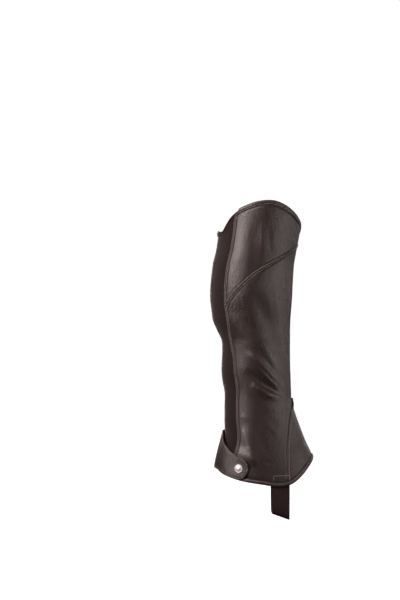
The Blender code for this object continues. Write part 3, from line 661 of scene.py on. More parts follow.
def level(outer, front, inner):
    """A line round the leg: its outer-side points, its height at the front and its inner side."""
    angles = [float(angle_of(OUTER_SIDE, x, z)) for x, z in outer]
    angles += [TURN / 2] + [float(angle_of(INNER_SIDE, x, z)) for x, z in inner]
    heights = [z for _, z in outer] + [front] + [z for _, z in inner]
    if inner[-1][0] < 0:
        angles = [-PAST_ZIP] + angles + [TURN + PAST_ZIP]
        heights = [outer[0][1]] + heights + [inner[-1][1]]
    return Seam.through(angles, heights)


TOP = level(TOP_OUTER, TOP_FRONT, TOP_INNER)
HEM = level(HEM_OUTER, HEM_FRONT, HEM_INNER)
SPANISH = level(SPANISH_OUTER, SPANISH_FRONT, SPANISH_INNER)
EDGE = upright(OUTER_SIDE, ELASTIC_EDGE)
INNER = upright(INNER_SIDE, INNER_SEAM)
GUSSET_A = upright(OUTER_SIDE, GUSSET_OUTER)
GUSSET_B = upright(INNER_SIDE, GUSSET_INNER)
BACK_HEIGHTS = np.linspace(150.0, -310.0, 9)
BACK_LINE = Seam(0 * BACK_HEIGHTS, BACK_HEIGHTS)
BACK_AGAIN = Seam(0 * BACK_HEIGHTS + TURN, BACK_HEIGHTS)
# Each panel reaches into the binding folded over its edge, and a little under its strips
UNDER_TOP = TOP.beside(-(TOP_BINDING_WIDTH / 2 - IN_BINDING)).height_at
OVER_HEM = HEM.beside(HEM_BINDING_WIDTH / 2 - IN_BINDING).height_at


def shares(lengths, count, close_start, close_end):
    """Shares from 0 to 1 along runs of these lengths: close together at the ends asked for."""
    lengths = np.asarray(lengths, float)[:, None]
    close = np.array(EDGE_PLACES)
    reach = np.minimum(close[-1], lengths / 4) / close[-1]
    first = close[None, :] * reach if close_start else np.zeros((len(lengths), 1))
    last = lengths - close[None, ::-1] * reach if close_end else lengths
    inside = np.linspace(0, 1, count + 1)[None, 1:-1]
    middle = first[:, -1:] * (1 - inside) + last[:, :1] * inside
    return np.concatenate([first, middle, last], axis=1) / lengths


def solve(left, right, bottom, top, across, up):
    """Angles and heights of a grid between two upright lines and two level ones."""
    angle = left(0.0) * (1 - across) + right(0.0) * across
    height = bottom(angle) * (1 - up) + top(angle) * up
    for _ in range(MEETING_ROUNDS):
        angle = left(height) * (1 - across) + right(height) * across
        height = bottom(angle) * (1 - up) + top(angle) * up
    return angle, height


def patch(left, right, bottom, top, columns, rows, close=(True, True, True, True)):
    """A grid of the form, with close rows at the edges asked for: left, right, bottom, top."""
    rough = np.linspace(0, 1, ROUGH_CELLS)
    points = bare_form(*solve(left, right, bottom, top, *np.meshgrid(rough, rough)))
    widths = np.linalg.norm(np.diff(points, axis=1), axis=-1).sum(axis=1)
    tall = np.linalg.norm(np.diff(points, axis=0), axis=-1).sum(axis=0)
    up_rows = shares(tall, rows, close[2], close[3]).mean(axis=0)
    across = shares(np.interp(up_rows, rough, widths), columns, close[0], close[1])
    column_tall = np.interp(across.mean(axis=0), rough, tall)
    up = shares(column_tall, rows, close[2], close[3]).T
    return solve(left, right, bottom, top, across, up)


def weld(angles, heights):
    """For each point, the first one at the same place."""
    places = [(angle * ANKLE_RADIUS, height, 0.0) for angle, height in zip(angles, heights)]
    tree = KDTree(len(places))
    for i, place in enumerate(places):
        tree.insert(place, i)
    tree.balance()
    return np.array([min(found[1] for found in tree.find_range(place, TOUCH)) for place in places])


def cells(ids):
    """The four-cornered faces of a grid, from its points' numbers."""
    corners = np.stack([ids[:-1, :-1], ids[:-1, 1:], ids[1:, 1:], ids[1:, :-1]], axis=-1)
    return corners.reshape(-1, 4).tolist()


def joined(grids):
    """Angles, heights and faces of one or more grids, joined where their points meet."""
    angles = np.concatenate([angle.ravel() for angle, _ in grids])
    heights = np.concatenate([height.ravel() for _, height in grids])
    first = weld(angles, heights) if len(grids) > 1 else np.arange(len(angles))
    kept, renumbered = np.unique(first, return_inverse=True)
    faces = []
    start = 0
    for angle, _ in grids:
        ids = renumbered[start : start + angle.size].reshape(angle.shape)
        start += angle.size
        faces += [list(dict.fromkeys(face)) for face in cells(ids)]
    return angles[kept], heights[kept], [face for face in faces if len(face) > 2]


def rim_edges(faces):
    """The edges of an open sheet's rim, each as its face runs along it."""
    count = {}
    for face in faces:
        for a, b in zip(face, face[1:] + face[:1]):
            count[(a, b)] = count.get((a, b), 0) + 1
    return [(a, b) for a, b in count if (b, a) not in count]


def closed(faces, inner_start):
    """Faces of an open sheet, its copy turned over, and the rim between them."""
    rim = [(b, a, a + inner_start, b + inner_start) for a, b in rim_edges(faces)]
    turned = [[c + inner_start for c in reversed(face)] for face in faces]
    return faces + turned + rim


def nearest(points, line):
    """How far each point lies from a line's closest point, and that point's number."""
    tree = KDTree(len(line))
    for i, place in enumerate(line):
        tree.insert(place, i)
    tree.balance()
    found = [tree.find(point)[1:] for point in points]
    return np.array([away for _, away in found]), np.array([number for number, _ in found])


def run_along(points):
    """How far each point of a line lies along it."""
    return np.concatenate([[0], np.cumsum(np.linalg.norm(np.diff(points, axis=0), axis=-1))])


def read(where, along, values):
    """Rows of values, read between their places along a line."""
    return np.stack([np.interp(where, along, column) for column in values.T], axis=-1)


def sampled(points, spacing):
    """Points at even spacing along a run of points."""
    along = run_along(points)
    return read(np.arange(0, along[-1] + spacing / 2, spacing), along, points)


def dots(seam, spacing):
    """Points at even spacing along a line of the form."""
    return sampled(bare_form(seam.angles, seam.heights), spacing)


def rolled(away):
    """How far a cut edge's outer face drops, by its distance from the edge."""
    share = np.clip(away / ROLL_REACH, 0, 1)
    return -ROLL_DEPTH * (1 - np.sqrt(1 - (1 - share) ** 2))


def pressed(points, seam, width):
    """How strongly a line on the form presses on the points beside it, from 0 to 1."""
    return np.exp(-((nearest(points, dots(seam, LINE_STEP))[0] / width) ** 2))


def stitched(points, seam):
    """The groove and puckers that a row of stitches pulls into the leather beside it."""
    away, number = nearest(points, dots(seam, LINE_STEP))
    along = number * LINE_STEP
    wander = PUCKER_WANDER * np.sin(along / PUCKER_WANDER_RUN)
    pucker = np.sin(TURN * along / PUCKER_PITCH + wander)
    return (
        -GROOVE_DEPTH * np.exp(-((away / GROOVE_WIDTH) ** 2))
        + PUCKER_RISE * pucker * np.exp(-((away / PUCKER_REACH) ** 2))
    )


def linked(name, data):
    """A new object in the scene."""
    made = bpy.data.objects.new(name, data)
    bpy.context.collection.objects.link(made)
    return made


def add_object(name, points, faces, finishes, inner_faces=(), uv=None, marks=None):
    """A mesh from points in millimetres. marks is a number a point, which its finish reads: mostly
    painted shade below 0, painted highlight and wear above 0.
    """
    mesh = bpy.data.meshes.new(name)
    mesh.from_pydata((np.asarray(points) * MM).tolist(), [], faces)
    for finish in finishes:
        mesh.materials.append(finish)
    if len(inner_faces):
        mesh.polygons.foreach_set("material_index", inner_faces)
    if uv is not None:
        corners = np.empty(len(mesh.loops), int)
        mesh.loops.foreach_get("vertex_index", corners)
        layer = mesh.uv_layers.new(name="cloth")
        layer.uv.foreach_set("vector", (uv[corners] * MM).ravel())
    if marks is not None:
        # Painted shade and painted highlight, with some wear, as one number a point
        mesh.attributes.new("shade_and_wear", "FLOAT", "POINT").data.foreach_set("value", marks)
    mesh.shade_smooth()
    mesh.set_sharp_from_angle(angle=SHARP)
    return linked(name, mesh)


def turned_over(faces):
    """For each face of a closed sheet, 1 where it is on the inner side and 0 elsewhere."""
    rim = len(rim_edges(faces))
    return [0] * len(faces) + [1] * len(faces) + [0] * rim


def shell(name, grids, wall, finishes, out=0.0, rows=(), lines=(), roll=True, uv=None, extra=None):
    """A thin closed wall over grids of the form. rows are the lines of stitches on it, and lines
    the pressed lines with their depths, widths and marks, which darken (mostly painted shade) or
    lighten (painted highlight and wear) along them. wall and out may be worked out from heights, uv
    from angles and heights, and extra relief from points."""
    angles, heights, faces = joined(grids)
    points = bare_form(angles, heights)
    base = out(heights) if callable(out) else np.full(len(angles), float(out))
    relief = np.zeros(len(angles))
    # Painted highlight and wear on the folds' ridges, painted shade in their troughs
    marks = fold_rise(points, section(heights)[2]) * FOLD_SHADE_AND_WEAR
    # Painted shade along the rolled cut edge
    if roll:
        rim = np.array([(points[a], (points[a] + points[b]) / 2) for a, b in rim_edges(faces)])
        relief += rolled(nearest(points, rim.reshape(-1, 3))[0])
        marks -= PAINTED_EDGE_SHADE * relief / ROLL_DEPTH
    # Painted shade in each stitched row's groove, with faint painted highlight and shade on its
    # puckers
    for seam in rows:
        groove = stitched(points, seam)
        relief += groove
        marks += groove / GROOVE_DEPTH
    # Painted shade along each pressed line, and painted highlight where its mark is above 0
    for seam, depth, width, mark in lines:
        press = pressed(points, seam, width)
        relief -= depth * press
        marks += mark * press
    if extra is not None:
        relief += extra(points)
    outer = form(angles, heights, base + relief)
    inner = form(angles, heights, base - (wall(heights) if callable(wall) else wall))
    marks = np.clip(marks, -1, 1)
    marks = np.concatenate([marks, np.minimum(marks, 0)])
    inner_faces = turned_over(faces) if len(finishes) > 1 else ()
    flat = None if uv is None else np.tile(uv(angles, heights), (2, 1))
    return add_object(name, np.concatenate([outer, inner]), closed(faces, len(angles)), finishes,
                      inner_faces, flat, marks)


def turns(count):
    """Even angles round a whole turn."""
    return np.linspace(0, TURN, count, endpoint=False)


def oval(sides, width, thick, groove_at=None):
    """An oval binding's section: its offsets up the leg and outward, with a stitched groove."""
    turn = turns(sides) + TURN / sides / 2
    wide = np.sign(np.cos(turn)) * np.abs(np.cos(turn)) ** BINDING_ROUND_WIDE * width / 2
    deep = np.sign(np.sin(turn)) * np.abs(np.sin(turn)) ** BINDING_ROUND_DEEP * thick / 2
    if groove_at is not None:
        groove = np.exp(-(((wide - groove_at) / BEAD_GROOVE_WIDTH) ** 2))
        deep -= (deep > 0) * BEAD_GROOVE_DEPTH * groove
    return wide, deep


def bead(name, seam, span, size, proud, finish, swell=None, groove_at=None, cuts=(None, None)):
    """A binding: an oval bead along a line of the form, whose ends may be cut on a slant."""
    width, thick = size
    count = int(abs(span[1] - span[0]) * MIDDLE_RADIUS / BEAD_STEP)
    angles = np.linspace(*span, count)
    heights = seam.height_at(angles)
    centre = form(angles, heights, proud - thick / 2)
    outward = facing(angles, heights)
    along = unit(np.gradient(centre, axis=0))
    outward = unit(outward - (outward * along).sum(1, keepdims=True) * along)
    up = np.cross(outward, along)
    for cut, end, way in zip(cuts, (0, count - 1), (1, -1)):
        if cut is not None:
            slant = cut / (cut @ up[end]) - up[end]
            for ring in range(CUT_RINGS):
                up[end + way * ring] += slant * (1 - ring / CUT_RINGS)
    wide, deep = oval(BEAD_SIDES, width, thick, groove_at)
    grow = np.ones(count) if swell is None else swell(angles)
    ends = np.minimum(np.arange(count), np.arange(count)[::-1])
    tuck = np.sqrt(1 - (1 - np.clip((ends + BEAD_END_START) / BEAD_END_RINGS, 0, 1)) ** 2)
    narrow = BEAD_END_WIDTH + (1 - BEAD_END_WIDTH) * tuck
    run = np.cumsum(np.linalg.norm(np.gradient(centre, axis=0), axis=1))
    rise, first_run, second_run = BEAD_WAVE
    slow_rise, slow_run = BEAD_SLOW_WAVE
    uneven = rise * np.sin(run / first_run) * np.sin(run / second_run)
    uneven = 1 + uneven + slow_rise * np.sin(run / slow_run)
    rings = (
        centre[:, None]
        + up[:, None] * (wide[None] * narrow[:, None])[..., None]
        + outward[:, None] * (deep[None] * (grow * tuck * uneven)[:, None])[..., None]
    )
    # Painted highlight along the binding's outer crown, painted shade at its edges and underside
    marks = np.tile(np.clip(deep / thick * BEAD_MARK - BEAD_MARK_DARK, -1, 1), count)
    around = np.cumsum(np.hypot(np.diff(wide, append=wide[0]), np.diff(deep, append=deep[0])))
    flat = np.stack([np.tile(around, count), np.repeat(run, BEAD_SIDES)], axis=-1)
    faces = tube_faces(count, BEAD_SIDES)
    return add_object(name, rings.reshape(-1, 3), faces, [finish], uv=flat, marks=marks)


def tube_faces(count, sides):
    faces = [list(range(sides))[::-1], [(count - 1) * sides + k for k in range(sides)]]
    for ring in range(count - 1):
        for k in range(sides):
            low, high = ring * sides + k, ring * sides + (k + 1) % sides
            faces.append([low, high, high + sides, low + sides])
    return faces


def seat(degrees, height, out):
    """A frame on the form: X round the leg, Y up and Z outward."""
    angle, height = np.array(math.radians(degrees)), np.array(height)
    outward = Vector(facing(angle, height))
    up = Vector((0, 0, 1))
    up = (up - up.dot(outward) * outward).normalized()
    round_it = up.cross(outward)
    place = Vector(form(angle, height, out)) * MM
    return Matrix.Translation(place) @ Matrix((round_it, up, outward)).transposed().to_4x4()


def turned(name, profile, place, finish):
    """A turned disc on a frame, from rows of radius and height."""
    rings = [[(r * math.cos(t), r * math.sin(t), h) for t in turns(SNAP_SIDES)] for r, h in profile]
    faces = tube_faces(len(profile), SNAP_SIDES)
    made = add_object(name, np.array(rings).reshape(-1, 3), faces, [finish])
    made.data.transform(place)
    return made


def meets(seam, line):
    """The height at which an upright seam meets a level line."""
    height = 0.0
    for _ in range(MEETING_ROUNDS):
        height = float(line(float(seam.angle_at(height))))
    return height


def thread_line(angles, heights, out):
    """A row of stitches: its points and the leather's facing there."""
    return form(angles, heights, out), facing(angles, heights)


def row_down(seam, top, bottom, out):
    """A row of stitches down an upright seam."""
    heights = np.linspace(top, bottom, ROW_SAMPLES)
    return thread_line(seam.angle_at(heights), heights, out(heights) if callable(out) else out)


def row_round(seam, first, last, out):
    """A row of stitches along a level seam, between two angles."""
    angles = np.linspace(first, last, ROW_SAMPLES)
    return thread_line(angles, seam.height_at(angles), out)


def stitch_shape(length, radius):
    """A short capsule of thread whose ends dip into the leather: along, across, out."""
    along, thick, lift = np.array(STITCH_OUTLINE).T
    rings = [
        [(a, w * math.cos(t), h + w * math.sin(t)) for t in turns(STITCH_SIDES)]
        for a, w, h in zip(along * length / 2, thick * radius, lift * radius)
    ]
    return np.array(rings).reshape(-1, 3), tube_faces(len(along), STITCH_SIDES)


def copies(name, placed, shape_faces, finish):
    """Many like shapes as one mesh, from the points of each."""
    starts = range(0, placed[..., 0].size, placed.shape[1])
    faces = [[c + start for c in face] for start in starts for face in shape_faces]
    return add_object(name, placed.reshape(-1, 3), faces, [finish])


def sewn(name, rows, finish, pitch=STITCH_PITCH, length=STITCH_LENGTH):
    """Rows of stitches as one mesh."""
    shape, shape_faces = stitch_shape(length, STITCH_RADIUS)
    placed = []
    for line, outward in rows:
        run = run_along(line)
        count = max(1, int(round(run[-1] / pitch)))
        at = (np.arange(count) + 0.5) * run[-1] / count
        ahead = unit(read(at + STITCH_AHEAD, run, line) - read(at - STITCH_AHEAD, run, line))
        up = read(at, run, outward)
        up = unit(up - (up * ahead).sum(1, keepdims=True) * ahead)
        axes = np.stack([ahead, np.cross(up, ahead), up], axis=1)
        placed.append(read(at, run, line)[:, None] + shape @ axes)
    return copies(name, np.concatenate(placed), shape_faces, finish)


def dress(piece, node):
    """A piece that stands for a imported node, or is sewn onto one, and rides with the leg."""
    if node:
        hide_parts(node)
    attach(piece, "root")


def steady(value):
    """A line that keeps one angle or height all along."""
    return lambda at: np.full(np.shape(at), value)


def spanish_half():
    """Half the width of the strip on the Spanish seam, along it."""
    places, widths = rising(SPANISH_WIDTHS)
    x = bare_form(SPANISH.angles, SPANISH.heights)[:, 0]
    return np.interp(x, places, widths) / 2


def strap_box(side):
    """The lines sewn through the leather where the strap is held inside it."""
    lines = []
    for x0, z0, x1, z1 in STRAP_BOX:
        heights = np.linspace(z0, z1, BOX_SAMPLES)
        lines.append(Seam(angle_of(side, np.linspace(x0, x1, BOX_SAMPLES), heights), heights))
    return lines


def line_by(seam, half, way, kind):
    """A pressed or worn line along one edge of a strip, for a shell."""
    away, depth, width, mark = kind
    return seam.beside(way * (half + away)), depth, width, mark


# Pressed lines beside the top and hem bindings, with painted shade along them
BY_TOP = line_by(TOP, TOP_BINDING_WIDTH / 2, -1, PRESSED_BY_BINDING)
BY_HEM = line_by(HEM, HEM_BINDING_WIDTH / 2, 1, PRESSED_BY_BINDING)
# The outer side's pieces end a little under the two long strips
FROM_EDGE = EDGE.beside(EDGE_STRIP_WIDTH / 2 - UNDER_STRIP).angle_at
TO_INNER = INNER.beside(-(INNER_STRIP_WIDTH / 2 - UNDER_STRIP)).angle_at


def outer_panels(leather, flesh):
    """The Spanish top and the main outer panel with its slit for the gusset."""
    half = spanish_half()
    above = SPANISH.beside(half - UNDER_STRIP).height_at
    below = SPANISH.beside(-(half - UNDER_STRIP)).height_at
    # Pressed lines beside the two long strips, with painted shade along them
    beside_strips = [
        line_by(EDGE, EDGE_STRIP_WIDTH / 2, 1, PRESSED_BESIDE),
        line_by(INNER, INNER_STRIP_WIDTH / 2, -1, PRESSED_BESIDE),
    ]
    lines = beside_strips + [line_by(SPANISH, half, 1, PRESSED_ABOVE), BY_TOP]
    grid = patch(FROM_EDGE, TO_INNER, above, UNDER_TOP, *GRID["spanish_top"])
    top = shell("spanish_top_leather", [grid], LEATHER_WALL, [leather, flesh], lines=lines)
    slit_a = GUSSET_A.beside(-SEAM_GAP / 2).angle_at
    slit_b = GUSSET_B.beside(SEAM_GAP / 2).angle_at
    shin = steady(TURN / 2)
    at_tip = steady(GUSSET_TIP)

    def slit_outer(height):
        return np.where(height > GUSSET_TIP - TOUCH, TURN / 2, np.minimum(slit_a(height), TURN / 2))

    def slit_inner(height):
        return np.where(height > GUSSET_TIP - TOUCH, TURN / 2, np.maximum(slit_b(height), TURN / 2))

    close_above = (True, True, False, True)
    close_below = (True, True, True, False)
    grids = [
        patch(FROM_EDGE, shin, at_tip, below, *GRID["outer_above"], close_above),
        patch(shin, TO_INNER, at_tip, below, *GRID["shin_above"], close_above),
        patch(FROM_EDGE, slit_outer, OVER_HEM, at_tip, *GRID["outer_below"], close_below),
        patch(slit_inner, TO_INNER, OVER_HEM, at_tip, *GRID["shin_below"], close_below),
    ]
    # Painted shade above and below the Spanish strip, along both sides of the gusset's slit and by
    # the hem
    lines = beside_strips + [
        line_by(SPANISH, half, -1, PRESSED_BELOW),
        line_by(GUSSET_A, 0.0, -1, PRESSED_AT_SLIT),
        line_by(GUSSET_B, 0.0, 1, PRESSED_AT_SLIT),
        BY_HEM,
    ]
    boxes = strap_box(OUTER_SIDE) + strap_box(INNER_SIDE)
    panel = shell("outer_panel_leather", grids, LEATHER_WALL, [leather, flesh], rows=boxes,
                  lines=lines)
    dress(top, "spanish_top")
    dress(panel, "outer_panel")


def gusset_out(height):
    heights, outs = np.array(GUSSET_OUT).T
    return np.interp(height, heights, outs)


def gusset_wall(height):
    """The gusset's thickness, padded at its point down to the shin."""
    return np.maximum(LEATHER_WALL, gusset_out(height) + GUSSET_SEAT)


def gusset_rows():
    """The rows of stitches that hold the gusset's two long edges."""
    return GUSSET_A.beside(GUSSET_STITCH_IN), GUSSET_B.beside(-GUSSET_STITCH_IN)


def gusset(leather, flesh):
    """The V-shaped instep piece, whose point stands proud of the shin."""
    side_a = GUSSET_A.beside(-UNDER_SEAM).angle_at
    side_b = GUSSET_B.beside(UNDER_SEAM).angle_at
    narrow = GUSSET_POINT_HALF / GUSSET_POINT_RADIUS

    def left(height):
        return np.minimum(side_a(height), TURN / 2 - narrow)

    def right(height):
        return np.maximum(side_b(height), TURN / 2 + narrow)

    grid = patch(left, right, OVER_HEM, steady(GUSSET_POINT_TOP), *GRID["gusset"])
    ends = [TURN / 2 - GUSSET_TIP_TURN, TURN / 2 + GUSSET_TIP_TURN]
    # Painted shade across the gusset under its proud point, and painted shade by the hem binding
    lines = [line_by(Seam(ends, [GUSSET_TIP, GUSSET_TIP]), 0.0, 1, PAINTED_TIP_SHADE), BY_HEM]
    made = shell("front_gusset_leather", [grid], gusset_wall, [leather, flesh], gusset_out,
                 gusset_rows(), lines)
    dress(made, "front_gusset")


def inner_side(leather, flesh):
    seam_side = INNER.beside(INNER_STRIP_WIDTH / 2 - UNDER_STRIP).angle_at
    zip_side = BACK_AGAIN.beside(-BESIDE_ZIP).angle_at
    grid = patch(seam_side, zip_side, OVER_HEM, UNDER_TOP, *GRID["inner_panel"])
    rows = [BACK_AGAIN.beside(-ZIP_STITCH_OUT)]
    lines = [line_by(INNER, INNER_STRIP_WIDTH / 2, 1, PRESSED_BESIDE), BY_TOP, BY_HEM]
    made = shell("inner_panel_leather", [grid], LEATHER_WALL, [leather, flesh], rows=rows,
                 lines=lines)
    dress(made, "inner_panel")


def zip_distance(angles, heights):
    """Distance round the form from the zip, with the height."""
    turn = np.mod(angles + math.pi, TURN) - math.pi
    steps = turn[:, None] * np.linspace(0, 1, ZIP_SAMPLES)
    points = bare_form(steps, np.repeat(heights[:, None], ZIP_SAMPLES, axis=1))
    run = np.linalg.norm(np.diff(points, axis=1), axis=-1).sum(axis=1)
    return np.stack([np.sign(turn) * run, heights], axis=-1)


def gathers(points):
    """The elastic's short puckers beside its two sewn edges."""
    x = points[:, 0]
    z = points[:, 2]
    wave = np.sin(z / GATHER_RUN + GATHER_WANDER * np.sin(z / GATHER_WANDER_RUN))
    slow = np.sin(z / GATHER_SLOW_RUNS[0] + x / GATHER_SLOW_RUNS[1])
    from_edge = nearest(points, dots(EDGE, GATHER_STEP))[0] - GATHER_FROM_EDGE
    from_zip = nearest(points, dots(BACK_LINE, GATHER_STEP))[0] - GATHER_FROM_ZIP
    fade = np.exp(-((np.maximum(np.minimum(from_edge, from_zip), 0) / GATHER_REACH) ** 2))
    return (GATHER_FINE * wave + GATHER_SLOW * slow) * fade + GATHER_LASTING * slow


def elastic_side(elastic):
    left = BACK_LINE.beside(BESIDE_ZIP).angle_at
    right = EDGE.beside(-(EDGE_STRIP_WIDTH / 2 - UNDER_STRIP)).angle_at
    top = TOP.beside(-(ELASTIC_BINDING_WIDTH / 2 - ELASTIC_IN_BINDING)).height_at
    grid = patch(left, right, OVER_HEM, top, *GRID["elastic"])
    made = shell("elastic_side_panel", [grid], ELASTIC_WALL, [elastic], -ELASTIC_SET_BACK,
                 [BACK_LINE.beside(ZIP_STITCH_OUT)], uv=zip_distance, extra=gathers)
    dress(made, "elastic_panel")


def strip(node, grid, seam, half, rows, leather):
    """A narrow strip sewn over a seam, with a painted highlight on its outer edge, and darker
    between its stitches.
    """
    lines = [line_by(seam, half, 1, LIT_EDGE), line_by(seam, 0.0, 1, DARK_MIDDLE)]
    made = shell(f"{node}_leather", [grid], LEATHER_WALL + STRIP_PROUD, [leather], STRIP_PROUD,
                 rows, lines)
    dress(made, node)


def strips(leather):
    """The narrow strips that cover the seams."""
    over_edge = TOP.beside(EDGE_STRIP_RISE).height_at
    uprights = (
        ("elastic_edge_strip", EDGE, EDGE_STRIP_WIDTH / 2, over_edge, EDGE_STITCH_OUT),
        ("inner_seam_strip", INNER, INNER_STRIP_WIDTH / 2, UNDER_TOP, INNER_STITCH_OUT),
    )
    for node, seam, half, top, stitch_out in uprights:
        sides = (seam.beside(way * half).angle_at for way in (-1, 1))
        rows = [seam.beside(way * stitch_out) for way in (-1, 1)]
        strip(node, patch(*sides, OVER_HEM, top, *GRID[node]), seam, half, rows, leather)
    half = spanish_half()
    edges = (SPANISH.beside(way * half).height_at for way in (-1, 1))
    grid = patch(FROM_EDGE, TO_INNER, *edges, *GRID["spanish_strip"])
    rows = [SPANISH.beside(way * (half - SPANISH_STITCH_IN)) for way in (-1, 1)]
    strip("spanish_strip", grid, SPANISH, half, rows, leather)


def bindings(leather, elastic):
    """The top edge's leather and elastic bindings, which meet the edge strip, and the hem's."""
    beside_strip = EDGE_STRIP_WIDTH / 2 + SEAM_GAP
    behind, ahead = (EDGE.beside(way * beside_strip) for way in (-1, 1))
    corner = meets(ahead, TOP.height_at)
    above, below = (form(EDGE.angle_at(height), height) for height in (corner + 1, corner - 1))
    slant = above - below

    def knob(angles):
        return 1 + KNOB_SWELL * ramp(angles, TURN - KNOB_START, TURN - KNOB_FULL)

    span = (float(ahead.angle_at(corner)), TURN - TOP_BINDING_END)
    top = bead("top_binding_leather", TOP, span, (TOP_BINDING_WIDTH, TOP_BINDING_THICK),
               BINDING_PROUD, leather, knob, -TOP_STITCH_DOWN, (slant, None))
    span = (ELASTIC_BINDING_START, float(behind.angle_at(meets(behind, TOP.height_at))))
    thin = bead("elastic_top_edge", TOP, span, (ELASTIC_BINDING_WIDTH, ELASTIC_BINDING_THICK),
                ELASTIC_BINDING_PROUD, elastic, cuts=(None, slant))
    span = (HEM_BINDING_END, TURN - HEM_BINDING_END)
    hem = bead("hem_binding_leather", HEM, span, (HEM_BINDING_WIDTH, HEM_BINDING_THICK),
               BINDING_PROUD, leather, groove_at=HEM_STITCH_UP)
    dress(top, "top_binding")
    dress(thin, "elastic_top_binding")
    dress(hem, "hem_binding")


def zip_tapes(tape):
    """The two woven tapes, whose inner edges meet under the teeth."""
    reach = ZIP_CHAIN_WIDTH / 2 + ZIP_TAPE_WIDTH + TAPE_UNDER
    for side, line, way in (("outer", BACK_LINE, 1), ("inner", BACK_AGAIN, -1)):
        near, far = (line.beside(way * away).angle_at for away in (TAPE_FROM_MIDDLE, reach))
        left, right = (near, far) if way > 0 else (far, near)
        grid = patch(left, right, OVER_HEM, steady(TAPE_TOP), *GRID["zip_tape"])
        made = shell(f"zip_tape_{side}_weave", [grid], TAPE_WALL, [tape], -TAPE_SET_BACK,
                     roll=False, uv=zip_distance)
        dress(made, f"zip_tape_{side}")


def zip_teeth(plastic):
    """The closed chain: teeth from both tapes, which lie across it by turns."""
    heights = np.arange(float(OVER_HEM(0.0)) + CHAIN_START, CHAIN_TOP, TOOTH_PITCH)
    shape, shape_faces = stitch_shape(TOOTH_LENGTH, TOOTH_RADIUS)
    placed = []
    for number, height in enumerate(heights):
        side = 1 if number % 2 else -1
        place = seat(0.0, height, TOOTH_OUT)
        middle = Vector((side * TOOTH_SHIFT, 0, 0))
        tilt = Matrix.Rotation(side * TOOTH_TILT, 3, "Z")
        placed.append([tuple((place @ ((tilt @ Vector(p) + middle) * MM)) / MM) for p in shape])
    dress(copies("zip_teeth", np.array(placed), shape_faces, plastic), "zip_chain")


def rounded_block(width, length, depth, rounding):
    """A rounded block that stands on its own base, as a bmesh in metres."""
    shape = bmesh.new()
    bmesh.ops.create_cube(shape, size=1.0)
    for vert in shape.verts:
        x, y, z = vert.co
        vert.co = Vector((x * width, y * length, (z + 0.5) * depth)) * MM
    bmesh.ops.bevel(shape, geom=shape.edges[:], offset=rounding * MM, segments=BLOCK_SEGMENTS,
                    profile=0.5, affect="EDGES")
    return shape


def blocks(name, base, parts, finish):
    """Rounded blocks on one frame, as one mesh."""
    mesh = bpy.data.meshes.new(name)
    whole = bmesh.new()
    for width, length, depth, rounding, *middle in parts:
        shape = rounded_block(width, length, depth, rounding)
        shape.transform(base @ Matrix.Translation(Vector(middle) * MM))
        part = bpy.data.meshes.new("part")
        shape.to_mesh(part)
        shape.free()
        whole.from_mesh(part)
        bpy.data.meshes.remove(part)
    whole.to_mesh(mesh)
    whole.free()
    mesh.materials.append(finish)
    mesh.shade_smooth()
    mesh.set_sharp_from_angle(angle=BLOCK_SHARP)
    return linked(name, mesh)


def zip_hardware(metal):
    """The box at the zip's top end, and the slider with its pull at the closed end."""
    for node, height, out, parts in ZIP_PIECES:
        dress(blocks(f"{node}_metal", seat(0, height, out), parts, metal), node)


def flap_edges(angle):
    """The flap's lower and upper edge and its stand-off at each, at angles up to the snap."""
    degrees, *columns = np.array(FLAP).T
    places = np.radians(degrees)
    angle = np.minimum(angle, places[-1])
    return [smooth(places, column, angle) for column in columns]


def flap_out(angle, share):
    """The flap's stand-off at an angle and a share of its height there."""
    _, _, out_lower, out_upper = flap_edges(angle)
    fade = ramp(angle, *np.radians(FLAP_BULGE_FADE))
    bulge = FLAP_BULGE * np.sin(math.pi * share) * fade
    return out_lower * (1 - share) + out_upper * share + bulge


def flap_outline(inset):
    """The flap's edge moved inward: down the lower edge, round its end and back."""
    straight = np.linspace(FLAP_START, FLAP_END, FLAP_EDGE_SAMPLES)
    low, high, _, _ = flap_edges(straight)
    middle, half = (low[-1] + high[-1]) / 2, (high[-1] - low[-1]) / 2
    turn = np.linspace(-math.pi / 2, math.pi / 2, FLAP_END_SAMPLES)[1:-1]
    end = FLAP_END + (FLAP_END_ROUND - inset) / ANKLE_RADIUS * np.cos(turn)
    angle = np.concatenate([straight, end, straight[::-1]])
    round_end = middle + (half - inset) * np.sin(turn)
    return angle, np.concatenate([low + inset, round_end, (high - inset)[::-1]])


def flap_grid():
    """Angles, heights and shares of height of the snap flap's outer face."""
    body = np.linspace(FLAP_START, FLAP_END, FLAP_COLUMNS)
    low, high, _, _ = flap_edges(body)
    round_it = np.radians(FLAP_END_DEGREES)
    middle, half = (low[-1] + high[-1]) / 2, (high[-1] - low[-1]) / 2
    body = np.concatenate([body, FLAP_END + FLAP_END_ROUND / ANKLE_RADIUS * np.sin(round_it)])
    low = np.concatenate([low, middle - half * np.cos(round_it)])
    high = np.concatenate([high, middle + half * np.cos(round_it)])
    share = shares(high - low, FLAP_ROWS, True, True).T
    return body + 0 * share, low * (1 - share) + high * share, share


